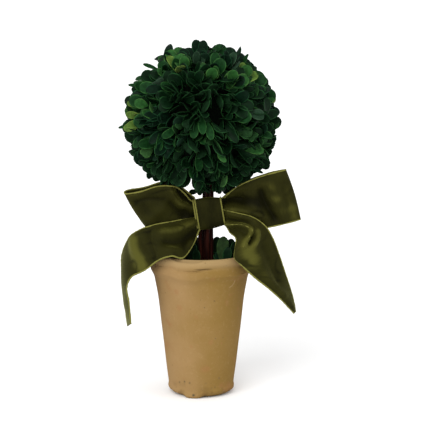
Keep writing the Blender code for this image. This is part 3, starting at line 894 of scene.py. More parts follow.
@dataclass
class Ribbon:
    """One stretch of the ribbon: a smooth sheet through its rungs, with folds and pale selvedges.

    Each rung is a point on the upper edge and one on the lower edge. The fades say, for each
    edge, how much of the selvedge shows at rungs along it.
    """

    node: str
    rungs: tuple
    bulge: float
    folds: tuple
    creases: tuple = ()
    fades: tuple = ((), ())
    rows: int = 180
    columns: int = 40
    thickness: float = 0.0008
    # Painted shade over the whole piece, and how far the folds' painted light spreads.
    plain_tone: float = 0.0
    shade_spread: float = 1.25
    mark_stretch: tuple = (0.6, 1.0, 1.15)
    # Thin dark lines of painted shade, as in creases: where they run and show, how wide and how dark.
    lines: Ripples = Ripples(1.0, 0.030, 51)
    line_patches: Ripples = Ripples(1.0, 0.030, 52)
    line_width: float = 0.16
    line_share: float = 0.3
    line_tone: float = -0.45
    soft_marks: Ripples = Ripples(0.06, 0.015, 53)
    edge_radius: float = 0.00068
    edge_sides: int = 7
    edge_wear: Ripples = Ripples(0.15, 0.004, 9)
    crease_share: float = 0.62
    bulge_rise: float = 4.0
    fold_rise: float = 2.5

    @cached_property
    def grid(self) -> Array:
        """The middle surface: splines along the edges, straight across, then bulged and folded.

        The bulge is a half sine wave across the ribbon, square to it, and fades at both its ends.

        Returns:
            The grid of points.
        """
        known = np.array(self.rungs) * MM
        edges = smooth_route(known, np.linspace(0, len(known) - 1, self.rows))
        across = np.linspace(0, 1, self.columns)[None, :, None]
        grid = edges[:, :1] + (edges[:, 1:] - edges[:, :1]) * across
        normal = self.normals(grid)
        ends = np.minimum(1.0, self.bulge_rise * np.sin(np.pi * np.linspace(0, 1, self.rows)))[:, None, None]
        grid = grid + normal * self.bulge * np.sin(np.pi * across) * ends
        height = sum(self.fold_shape(grid, fold) * fold.height for fold in self.folds)
        return grid + normal * height[..., None]

    def normals(self, grid: Array) -> Array:
        """The directions square to the sheet, on the side that faces the front near its root.

        Args:
            grid: The points of the sheet.

        Returns:
            A unit vector for each point.
        """
        normal = unit(np.cross(np.gradient(grid, axis=0), np.gradient(grid, axis=1)))
        near = normal[self.rows // 6: self.rows // 3, self.columns // 2, 1]
        return -normal * np.sign(near.mean())

    def spot(self, grid: Array, line: tuple, count: int = 40) -> Array:
        """Points of the sheet along a line.

        Args:
            grid: The points of the sheet.
            line: The line, by rungs along the ribbon and shares across it.
            count: How many points.

        Returns:
            The points, each from the four of the sheet round it.
        """
        route = smooth_route(np.array(line, dtype=float), np.linspace(0, len(line) - 1, count))
        last = np.array([self.rows - 1, self.columns - 1])
        place = np.clip(route / (len(self.rungs) - 1, 1) * last, 0, last - TINY)
        row, column = place.astype(int).T
        down, over = (place % 1).T[..., None]
        upper = grid[row, column] * (1 - over) + grid[row, column + 1] * over
        lower = grid[row + 1, column] * (1 - over) + grid[row + 1, column + 1] * over
        return upper * (1 - down) + lower * down

    def fold_shape(self, grid: Array, fold: Fold, spread: float = 1.0) -> Array:
        """A fold's share: a bell curve of the distance to its line, less towards the line's ends.

        Args:
            grid: The points of the sheet.
            fold: The fold.
            spread: How many times its width it is taken.

        Returns:
            A share from 0 to 1 for each point.
        """
        line = self.spot(grid, fold.line)
        share = np.arange(1, len(line) + 1) / (len(line) + 1)
        taper = np.minimum(1.0, self.fold_rise * np.sin(np.pi * share))
        distance = np.linalg.norm(grid[:, :, None] - line, axis=-1)
        return np.max(taper * bell(distance, fold.width * spread), axis=-1)

    def shades_and_pile(self) -> Array:
        """The pile's painted light and shade: its plain level, the folds' and the marks.

        The marks are thin dark lines of painted shade, as in creases, and soft paler and darker
        places at random. The lines run where a relief of ripples is zero, as a bell curve of its
        height, and fade in and out with a second relief. The soft places are a third one.

        Returns:
            The painted light and shade of each point.
        """
        folds = sum(self.fold_shape(self.grid, fold, self.shade_spread) * fold.tone for fold in self.folds)
        place = self.grid * self.mark_stretch
        lines, soft = bell(self.lines.at(place), self.line_width), self.soft_marks.at(place)
        shown = np.clip(self.line_patches.at(self.grid) + self.line_share, 0, 1)
        return self.plain_tone + folds + soft + self.line_tone * lines * shown

    def edging(self) -> Piece:
        """Make the selvedges: thin tubes along both edges and along the creases.

        Returns:
            The piece.
        """
        creases = [self.spot(self.grid, line, self.rows) for line in self.creases]
        routes = np.stack([self.grid[:, 0], self.grid[:, -1], *creases])
        rung = np.linspace(0, len(self.rungs) - 1, self.rows)
        shares = [np.interp(rung, *zip(*fade)) if fade else np.ones(self.rows) for fade in self.fades]
        shares += [np.full(self.rows, self.crease_share)] * len(self.creases)
        radii = self.edge_radius * (1 + self.edge_wear.at(routes)) * np.stack(shares)
        points, quads = tubes(routes, radii, self.edge_sides)
        return make_piece(f"{self.node}_selvedge", self.node, [SELVEDGE], points, quads, uv=points[:, :2])

    def build(self) -> list[Piece]:
        """Make the sheet and its selvedges.

        Returns:
            The sheet and its edging.
        """
        grid = self.grid
        steps = np.linalg.norm(np.diff(grid[:, self.columns // 2], axis=0), axis=-1)
        length = np.concatenate([[0.0], np.cumsum(steps)])
        width = np.linalg.norm(grid[:, 0] - grid[:, -1], axis=-1).max() * np.linspace(0, 1, self.columns)
        uv = np.stack(np.meshgrid(length, width, indexing="ij"), axis=-1)
        sheet = make_piece(
            f"{self.node}_velvet", self.node, [VELVET], grid, grid_quads(grid), weld=False, uv=uv,
            tone=self.shades_and_pile(),
        )
        thick = sheet.modifiers.new("thickness", "SOLIDIFY")
        thick.thickness = self.thickness
        thick.offset = 0.0
        return [sheet, self.edging()]


# Each fold's last number is painted light along it: above 0 a painted highlight, below 0 painted shade.
LEFT_LOOP = Ribbon(
    node="bow_loop_left",
    rungs=(
        ((-5.9, -10.6, 171), (-2.3, -10.6, 150)), ((-20, -17, 184.5), (-18, -15, 149)),
        ((-36, -21, 186.5), (-31, -17.5, 148)), ((-52, -21.5, 181.8), (-41, -17, 148)),
        ((-64.8, -16.5, 179.2), (-47.2, -13.2, 149.7)), ((-64, -10.5, 181.2), (-46.6, -8.6, 150.2)),
        ((-50, -5.5, 183), (-38, -5, 150.5)), ((-26, -4.5, 188), (-22, -4.5, 151)),
        ((-5.2, -8.2, 174.5), (-2.6, -8.2, 152)),
    ),
    bulge=0.0012,
    folds=(
        Fold(((1.45, 0), (1.22, 0.22), (0.9, 0.38), (0.4, 0.33), (0.05, 0.25)), 0.0036, 0.0028, 0.5),
        Fold(((1.05, 0.07), (0.65, 0.17), (0.2, 0.13)), -0.0052, 0.0042, -1.4),
        Fold(((1.55, 0.35), (1.15, 0.58), (0.7, 0.75)), -0.003, 0.0034, -0.5),
        Fold(((0.8, 0.5), (0.4, 0.62), (0.1, 0.6)), -0.0016, 0.003, -0.6),
        Fold(((3.75, 0.27), (3, 0.2), (2.2, 0.27), (1.7, 0.3)), -0.0014, 0.0018, -0.45),
        Fold(((3.6, 0.85), (2.5, 0.62), (1.75, 0.45)), 0.0018, 0.0046, 0.2),
        Fold(((3.95, 0.05), (3.95, 0.5), (3.9, 0.95)), 0, 0.0022, 0.45),
        Fold(((3.8, 0.04), (2.8, 0.04), (1.8, 0.04)), 0, 0.0016, 0.4),
        Fold(((3.2, 0.3), (2.7, 0.55), (2.1, 0.85)), -0.0012, 0.004, -0.35),
    ),
    plain_tone=-0.18,
    line_tone=-0.7,
    soft_marks=Ripples(0.17, 0.015, 53),
)
RIGHT_LOOP = Ribbon(
    node="bow_loop_right",
    rungs=(
        ((17.7, -10.6, 173), (21.3, -10.6, 152)), ((32, -18, 185.5), (33, -16, 149.5)),
        ((45, -21, 192.4), (49, -20.5, 149.2)), ((58.5, -22, 197), (65.5, -21.5, 152.2)),
        ((71.6, -18, 199.8), (83.6, -17.5, 156.2)), ((72, -12, 199.4), (84.4, -11.5, 156.4)),
        ((59, -5.5, 195.6), (65.5, -5, 153.8)), ((38, -3.5, 187.5), (40, -3.5, 151.5)),
        ((17.6, -8.2, 174), (21.1, -8.2, 153)),
    ),
    bulge=0.0012,
    folds=(
        Fold(((0.1, 0.38), (0.8, 0.52), (1.5, 0.6), (2.7, 0.82)), 0.0036, 0.003, 0.55),
        Fold(((0.2, 0.62), (1.2, 0.76), (2.3, 0.95)), -0.002, 0.0028, -0.4),
        Fold(((0.05, 0.08), (0.6, 0.22), (1.3, 0.36)), -0.0046, 0.004, -1),
        Fold(((0.2, 0), (0.9, 0.05), (1.7, 0.12)), 0.002, 0.0024, 0.3),
        Fold(((1.3, 0.36), (2, 0.42), (2.5, 0.5)), -0.0016, 0.0046, -0.6),
        Fold(((2.35, 0.2), (2.6, 0.55), (3, 0.9)), -0.0034, 0.0034, -0.6),
        Fold(((3, 0.1), (3.2, 0.5), (3.4, 0.9)), 0.0024, 0.004, 0.35),
        Fold(((1.9, 0.08), (2.8, 0.1), (3.6, 0.1)), 0, 0.0036, 0.35),
        Fold(((3.75, 0.35), (3.8, 0.65), (3.85, 0.95)), 0, 0.0042, 0.65),
        Fold(((3.6, 0.3), (3.62, 0.7)), -0.0012, 0.002, -0.3),
    ),
    plain_tone=-0.24,
    line_tone=-0.7,
    soft_marks=Ripples(0.17, 0.015, 53),
)
LEFT_TAIL = Ribbon(
    node="bow_tail_left",
    rungs=(
        ((-3.9, -13, 158), (0.3, -13, 149.5)), ((-14, -18.5, 157.3), (-4.4, -23, 140.2)),
        ((-26, -22.5, 155.6), (-14.4, -38, 127.4)), ((-40, -22.5, 153), (-25, -43, 129.4)),
        ((-52, -18, 148.3), (-37, -40.5, 125)), ((-62.5, -8.5, 139), (-48, -34.5, 115)),
        ((-69.5, 3, 122), (-59.5, -30, 109)), ((-70, 8, 104), (-64, -29, 99)),
        ((-68.7, 9, 84), (-62.3, -28.5, 86)), ((-65.2, 7, 56.8), (-60.8, -27, 66.5)),
    ),
    bulge=0.0022,
    folds=(
        Fold(((0.2, 0.38), (1, 0.34), (2, 0.28), (3, 0.28)), 0.0034, 0.0036, 0.55),
        Fold(((0.2, 0.66), (1.1, 0.6), (2.1, 0.56), (3.2, 0.55)), -0.004, 0.0048, -0.65),
        Fold(((1.2, 0.86), (2.2, 0.82), (3.3, 0.84)), 0.0018, 0.003, 0.2),
        Fold(((0.6, 0.95), (1.4, 0.72), (2, 0.85)), -0.0016, 0.0026, -0.6),
        Fold(((3.55, 0.1), (3.85, 0.5), (4.05, 0.9)), -0.003, 0.004, -0.35),
        Fold(((4.75, 0.06), (4.9, 0.35), (4.95, 0.65), (4.95, 0.98)), 0.002, 0.0056, 1.2),
        Fold(((4.3, 0.3), (4.35, 0.8)), -0.0012, 0.0024, -0.3),
        Fold(((6.5, 0.3), (8, 0.4), (9, 0.45)), 0, 0.006, 0.1),
    ),
    plain_tone=-0.08,
    fades=(((0.0, 0.35), (0.9, 0.45), (1.5, 1.0), (9.0, 1.0)), ()),
)
RIGHT_TAIL = Ribbon(
    node="bow_tail_right",
    rungs=(
        ((19.4, -13, 165), (21.6, -13, 152)), ((32, -20.5, 162.8), (24.7, -21, 146.5)),
        ((44, -24.5, 160), (30.5, -31, 142.5)), ((55, -25, 153), (29.2, -37.5, 133.2)),
        ((62, -21.5, 141.5), (29.2, -40, 126.6)), ((67.5, -18, 127), (36.2, -40, 119.8)),
        ((73, -14.5, 110), (46.5, -38, 109.8)), ((78.5, -11.5, 93), (59, -32, 98.5)),
        ((82, -10, 79), (72, -21.5, 84.5)), ((82.6, -10, 73.4), (81.4, -11.4, 72.6)),
    ),
    bulge=0.0022,
    folds=(
        Fold(((0.1, 0.85), (1.5, 0.52), (2.25, 0.39), (2.63, 0.36)), 0.003, 0.0022, 0.5),
        Fold(((2.6, 0.37), (2.85, 0.5), (3, 0.67), (3.25, 0.77)), 0.0036, 0.0022, 0.7),
        Fold(((0.6, 0.9), (1.5, 0.72), (2.2, 0.62), (2.6, 0.56)), -0.002, 0.0026, -0.4),
        Fold(((3.02, 0.45), (3.4, 0.56)), -0.0046, 0.0026, -0.9),
        Fold(((2.85, 0.22), (3.35, 0.34), (3.75, 0.52)), 0.0028, 0.0022, 0.6),
        Fold(((0.2, 0.45), (1.2, 0.36), (2.2, 0.24)), -0.0028, 0.003, -0.55),
        Fold(((0.2, 0.12), (1.3, 0.1), (2.6, 0.08)), 0.0016, 0.003, 0.2),
        Fold(((3.9, 0.3), (5.2, 0.34), (6.6, 0.4)), -0.0022, 0.0044, -0.35),
        Fold(((3.8, 0.62), (4.2, 0.68), (4.9, 0.72)), 0, 0.0062, 0.85),
        Fold(((5.6, 0.7), (6.8, 0.7), (7.6, 0.6)), 0.0012, 0.004, 0.25),
    ),
    creases=(
        (
            (0.02, 0.88), (0.8, 0.7), (1.5, 0.54), (2.25, 0.41), (2.63, 0.38), (2.85, 0.5),
            (2.97, 0.67), (3.25, 0.77),
        ),
    ),
    fades=((), ((0.0, 1.0), (2.2, 1.0), (2.8, 0.45), (4.4, 0.45), (5.0, 1.0), (9.0, 1.0))),
)


@dataclass
class VelvetBow:
    """The bow: two loops, two tails, the knot over their roots and the turn round the sticks."""

    ribbons: tuple = (LEFT_LOOP, RIGHT_LOOP, LEFT_TAIL, RIGHT_TAIL)
    knot_low: tuple = (-3.4, -15.6, 148.4)
    knot_high: tuple = (19.2, -6.2, 174.8)
    knot_slant: float = 0.16
    knot_squareness: float = 3.6
    knot_tilt: float = 0.13
    knot_barrel: float = 0.09
    knot_taper: float = 0.055
    knot_waist: float = 0.06
    knot_tone: float = -0.42
    knot_marks: Ripples = Ripples(0.22, 0.016, 41)
    mark_stretch: tuple = (1.0, 1.0, 0.5)
    knot_rows: int = 60
    knot_columns: int = 72
    cap_step: float = 0.001
    edge_step: float = 0.2
    edge_points: int = 121
    edge_radius: float = 0.00068
    edge_sides: int = 7
    layer_step: float = 0.0016
    layer_inset: float = 0.0007
    band_centre: tuple = (5.7, 1.0)
    band_inside: float = 0.0062
    band_low: float = 0.1500
    band_high: float = 0.1690
    band_columns: int = 96
    thickness: float = 0.0008
    sharp_angle: float = math.radians(50)

    def build(self) -> list[Piece]:
        """Make the whole bow and return its pieces."""
        pieces = [piece for ribbon in self.ribbons for piece in ribbon.build()]
        return pieces + [self.knot(), self.knot_edging(), self.band()]

    def knot_ring(self, x: Array, angle: Array, inset: float) -> Array:
        """Points on the knot: a rounded rectangle carried along X, leaning as it goes up.

        The section is a superellipse: depth and height are the cosine and sine of the angle,
        each to the power of two over the squareness, keeping its sign. The height swells by a
        half cosine wave along the knot, and tapers to its right end.

        Args:
            x: Places along the knot, in metres.
            angle: Angles round it, 0 at the back and increasing towards the top.
            inset: How far inside the knot's surface, in metres.

        Returns:
            A grid, x by angle.
        """
        low, high = np.array(self.knot_low) * MM, np.array(self.knot_high) * MM
        centre, half = (low + high) / 2, (high - low) / 2 - inset
        ways = np.stack([np.cos(angle), np.sin(angle)])
        depth, rise = np.sign(ways) * np.abs(ways) ** (2 / self.knot_squareness) * half[1:, None]
        along = x[:, None] - self.knot_slant * rise
        share = ((x - centre[0]) / half[0])[:, None]
        swell = np.cos(share * math.pi / 2)
        rise = rise * (1 + self.knot_barrel * swell - self.knot_taper * share)
        rise = rise + self.knot_tilt * (along - centre[0])
        depth = depth * (1 - self.knot_waist * swell)
        return np.stack([along, centre[1] + depth, centre[2] + rise], axis=-1)

    def knot(self) -> Piece:
        """Make the knot: a short sleeve of ribbon, closed at both ends where the loops go in.

        Returns:
            The piece.
        """
        x = np.linspace(self.knot_low[0] * MM, self.knot_high[0] * MM, self.knot_rows)
        angle = -circle(self.knot_columns)
        grid = self.knot_ring(x, angle, self.thickness / 2)
        steps = ((x[:1] + self.cap_step), (x[-1:] - self.cap_step))
        caps = [self.knot_ring(step, angle, self.thickness * 2) for step in steps]
        poles = [np.broadcast_to(cap.mean(axis=1, keepdims=True), cap.shape) for cap in caps]
        grid = np.concatenate([poles[0], caps[0], grid, caps[1], poles[1]])
        # Painted shade over the whole knot, with random marks in its pile.
        tone = self.knot_tone + self.knot_marks.at(grid * self.mark_stretch)
        return make_piece("bow_knot_velvet", "bow_knot", [VELVET], grid, uv=grid[..., [0, 2]], tone=tone)

    def knot_edging(self) -> Piece:
        """Make the pale selvedges at the knot's two ends, and the edge of the layer under it.

        Returns:
            The piece.
        """
        ends = np.array([self.knot_low[0] + self.edge_step, self.knot_high[0] - self.edge_step]) * MM
        angle = -np.linspace(0, math.tau, self.edge_points)
        under = self.knot_ring(ends[:1] - self.layer_step, angle, self.layer_inset)
        routes = np.concatenate([self.knot_ring(ends, angle, 0.0), under])
        points, quads = tubes(routes, np.full(routes.shape[:2], self.edge_radius), self.edge_sides)
        return make_piece("bow_knot_selvedge", "bow_knot", [SELVEDGE], points, quads, uv=points[:, :2])

    def band(self) -> Piece:
        """Make the turn of ribbon behind the knot: a flat ring round the sticks.

        Returns:
            The piece.
        """
        height = np.linspace(self.band_low, self.band_high, 3)
        outside = np.column_stack([np.full(3, self.band_inside + self.thickness), height])
        inside = np.column_stack([np.full(3, self.band_inside), height[::-1]])
        grid = turned(np.concatenate([inside[-1:], outside, inside]), self.band_columns)
        grid[..., :2] += np.array(self.band_centre) * MM
        piece = make_piece("bow_band_velvet", "bow_band", [VELVET], grid, uv=grid[..., [0, 2]])
        piece.data.set_sharp_from_angle(angle=self.sharp_angle)
        return piece


@dataclass
class Leaves:
    """Many leaves as arrays: where each is rooted, how it lies, its size, bend, fold and tint."""

    root: Array
    along: Array
    up: Array
    length: Array
    width: Array
    bend: Array
    fold: Array
    tint: Array

    @classmethod
    def listed(cls, *parts: Array) -> "Leaves":
        """Leaves from arrays by twig and leaf, in one list: three of vectors, then numbers."""
        return cls(*(part.reshape(-1, 3) for part in parts[:3]), *(part.ravel() for part in parts[3:]))

    @classmethod
    def joined(cls, batches: list["Leaves"]) -> "Leaves":
        """The leaves of several batches, in one."""
        names = [part.name for part in fields(cls)]
        return cls(*(np.concatenate([getattr(batch, name) for batch in batches]) for name in names))

    @property
    def ends(self) -> Array:
        """Where the leaves' tips would lie if they were straight."""
        return self.root + self.along * self.length[:, None]

    def pick(self, chosen: Array) -> "Leaves":
        """The chosen leaves, by a mask or by their numbers."""
        return Leaves(*(getattr(self, part.name)[chosen] for part in fields(self)))


@dataclass(frozen=True)
class SingleLeaves:
    """Leaves set where the photograph shows them, each by its root and its tip, in millimetres.

    The widths are the least and the greatest, as shares of the length, and the folds alike.
    """

    tint: Tint
    widths: tuple
    places: tuple
    facing: tuple = (0.1, -1.0, 0.2)
    turn: float = 0.3
    bend: float = 0.12
    folds: tuple = (0.1, 0.3)

    def leaves(self, chance: Chance) -> Leaves:
        """The leaves, with their faces to the front.

        Args:
            chance: Source of the random numbers.

        Returns:
            The leaves.
        """
        root, tip = np.array(self.places).swapaxes(0, 1) * MM
        along, count = unit(tip - root), len(root)
        facing = square_to(np.tile(self.facing, (count, 1)), along)
        up = turned_about(facing, along, chance.normal(0, self.turn, count))
        length = np.linalg.norm(tip - root, axis=-1)
        return Leaves(
            root, along, up, length, length * chance.uniform(*self.widths, count), np.full(count, self.bend),
            chance.uniform(*self.folds, count), np.full(count, TINTS.index(self.tint)),
        )


@dataclass(frozen=True)
class LeafSizes:
    """The length and width of a plant's leaves, in metres, and how much each leaf differs.

    Lengths and widths are least and greatest shares of these two. A bend is the angle by which
    the midrib turns, and a fold how steeply the blade rises from it.
    """

    length: float
    width: float
    lengths: tuple
    widths: tuple
    bends: tuple
    folds: tuple


class Pattern(NamedTuple):
    """The flat leaf: share along, share across and side of each corner, its faces and their slots."""

    along: Array
    across: Array
    side: Array
    quads: Array
    slots: Array


@dataclass(frozen=True)
class LeafShape:
    """A boxwood leaf: a thin closed blade with a narrow foot, a round tip and a creased midrib."""

    rows: tuple = (0.0, 0.10, 0.27, 0.46, 0.65, 0.82, 0.94, 1.0)
    columns: tuple = (-1.0, -0.84, 0.0, 0.84, 1.0)
    widest: float = 0.63
    foot_width: float = 0.055
    foot_power: float = 1.5
    tip_width: float = 0.17
    tip_power: float = 2.3
    thickness: float = 0.00032
    tries: int = 5
    shrink: float = 0.84

    def half_width(self, share: Array) -> Array:
        """Half the blade's width, 1 where it is widest.

        It rises by a power of a quarter of a sine wave to the widest place, and closes from
        there to the tip by a quarter of a superellipse.

        Args:
            share: Places along the blade, as shares of its length.

        Returns:
            A half width for each place.
        """
        rise = np.sin(np.pi / 2 * ramp(share, 0, self.widest)) ** self.foot_power
        close = np.sqrt(1 - ramp(share, self.widest, 1) ** self.tip_power)
        lower = share < self.widest
        return np.maximum(np.where(lower, rise, close), np.where(lower, self.foot_width, self.tip_width))

    @cached_property
    def pattern(self) -> Pattern:
        """The flat leaf. Face and back share the corners of the rim, so the blade is closed.

        Returns:
            Its corners, faces and slots.
        """
        along, across = (part.ravel() for part in np.meshgrid(self.rows, self.columns, indexing="ij"))
        number = np.arange(len(along)).reshape(len(self.rows), len(self.columns))
        inner = number[1:-1, 1:-1].ravel()
        face = grid_quads(number)
        renamed = number.ravel().copy()
        renamed[inner] = number.size + np.arange(len(inner))
        side = np.zeros(number.size)
        side[inner] = 1.0
        rim = np.tile([2, 0, 0, 2], len(self.rows) - 1)
        along, across = (np.concatenate([part, part[inner]]) for part in (along, across))
        side = np.concatenate([side, -np.ones(len(inner))])
        quads = np.concatenate([face, renamed[face][:, ::-1]])
        return Pattern(along, across, side, quads, np.concatenate([rim, np.where(rim == 0, 1, rim)]))

    def blades(self, leaves: Leaves) -> Array:
        """The corners of all the leaves.

        A leaf's midrib is an arc that turns away from its face by the bend angle. Across it the
        blade rises from the midrib by the fold, in proportion to the distance from it.

        Args:
            leaves: The leaves to draw.

        Returns:
            Leaf by leaf, the corners of the pattern in place.
        """
        flat = self.pattern
        bend, length = leaves.bend[:, None], leaves.length[:, None]
        turn = bend * flat.along
        forward = length * np.sin(turn) / bend
        drop = -length * (1 - np.cos(turn)) / bend
        half = leaves.width[:, None] / 2 * self.half_width(flat.along)
        rise = half * np.abs(flat.across) * leaves.fold[:, None] + flat.side * self.thickness / 2
        heading, up = leaves.along[:, None], leaves.up[:, None]
        tilted = up * np.cos(turn)[..., None] + heading * np.sin(turn)[..., None]
        parts = ((heading, forward), (up, drop), (np.cross(heading, up), half * flat.across), (tilted, rise))
        return sum((way * size[..., None] for way, size in parts), leaves.root[:, None])

    def faces(self, count: int) -> Array:
        """The faces of a number of leaves, leaf by leaf."""
        return repeated(self.pattern.quads, len(self.pattern.along), count)

    def touching(self, leaves: Leaves, trees: list[BVHTree]) -> Array:
        """Find the leaves that cut a surface.

        Args:
            leaves: The leaves.
            trees: Search trees of the surfaces.

        Returns:
            For each leaf, whether it cuts any of them.
        """
        hit = np.zeros(len(leaves.root), dtype=bool)
        quads = self.faces(len(hit))
        tree = BVHTree.FromPolygons(self.blades(leaves).reshape(-1, 3).tolist(), quads.tolist())
        for other in trees:
            pairs = np.array(tree.overlap(other), dtype=int).reshape(-1, 2)
            hit[pairs[:, 0] // len(self.pattern.quads)] = True
        return hit

    def cleared(self, leaves: Leaves, trees: list[BVHTree]) -> Leaves:
        """Draw leaves that cut a surface smaller, a few times, and leave out those that still do.

        Args:
            leaves: The leaves.
            trees: Search trees of the surfaces.

        Returns:
            The leaves that are left.
        """
        for _ in range(self.tries):
            hit = self.touching(leaves, trees)
            leaves.length[hit] *= self.shrink
            leaves.width[hit] *= math.sqrt(self.shrink)
        return leaves.pick(~self.touching(leaves, trees))

    def build(self, prefix: str, leaves: Leaves, node: str) -> None:
        """Make one piece for each tint that the leaves have.

        Args:
            prefix: Start of the pieces' names.
            leaves: The leaves.
            node: The CAD node that they stand for.
        """
        for number in np.unique(leaves.tint):
            tint = TINTS[number].value
            batch = leaves.pick(leaves.tint == number)
            count = len(batch.root)
            name, slots = f"{prefix}_{tint.name}", np.tile(self.pattern.slots, count)
            blades, quads = self.blades(batch), self.faces(count)
            make_piece(name, node, tint.finishes(), blades, quads, weld=False, slots=slots)


@dataclass
class Foliage(ABC):
    """Leaves on twigs over a dark base, which together stand for one CAD node."""

    shape: LeafShape
    name: str
    node: str
    base_name: str
    base_finish: MossFinish
    twig_radii: tuple
    twig_sides: int
    seed: int

    @cached_property
    def chance(self) -> Chance:
        """The one source of the plant's random numbers."""
        return np.random.default_rng(self.seed)

    @abstractmethod
    def base(self) -> Array:
        """The grid of the base, closed round."""

    @abstractmethod
    def grow(self) -> tuple[Leaves, Array]:
        """Grow the leaves.

        Returns:
            The leaves, and the centre lines of the twigs.
        """

    def build(self, obstacles: list[Piece]) -> None:
        """Make the base, the twigs and the leaves.

        Args:
            obstacles: The pieces that the leaves have to stay clear of.
        """
        graph = bpy.context.evaluated_depsgraph_get()
        leaves, routes = self.grow()
        leaves = self.shape.cleared(leaves, [BVHTree.FromObject(piece, graph) for piece in obstacles])
        make_piece(self.base_name, self.node, [self.base_finish], self.base())
        radii = np.broadcast_to(self.twig_radii, routes.shape[:2])
        points, quads = tubes(routes, radii, self.twig_sides)
        make_piece(f"{self.name}_twigs", self.node, [TWIG_BARK], points, quads)
        self.shape.build(f"{self.name}_leaves", leaves, self.node)
        LOG.info("%s: %d leaves", self.name, len(leaves.root))


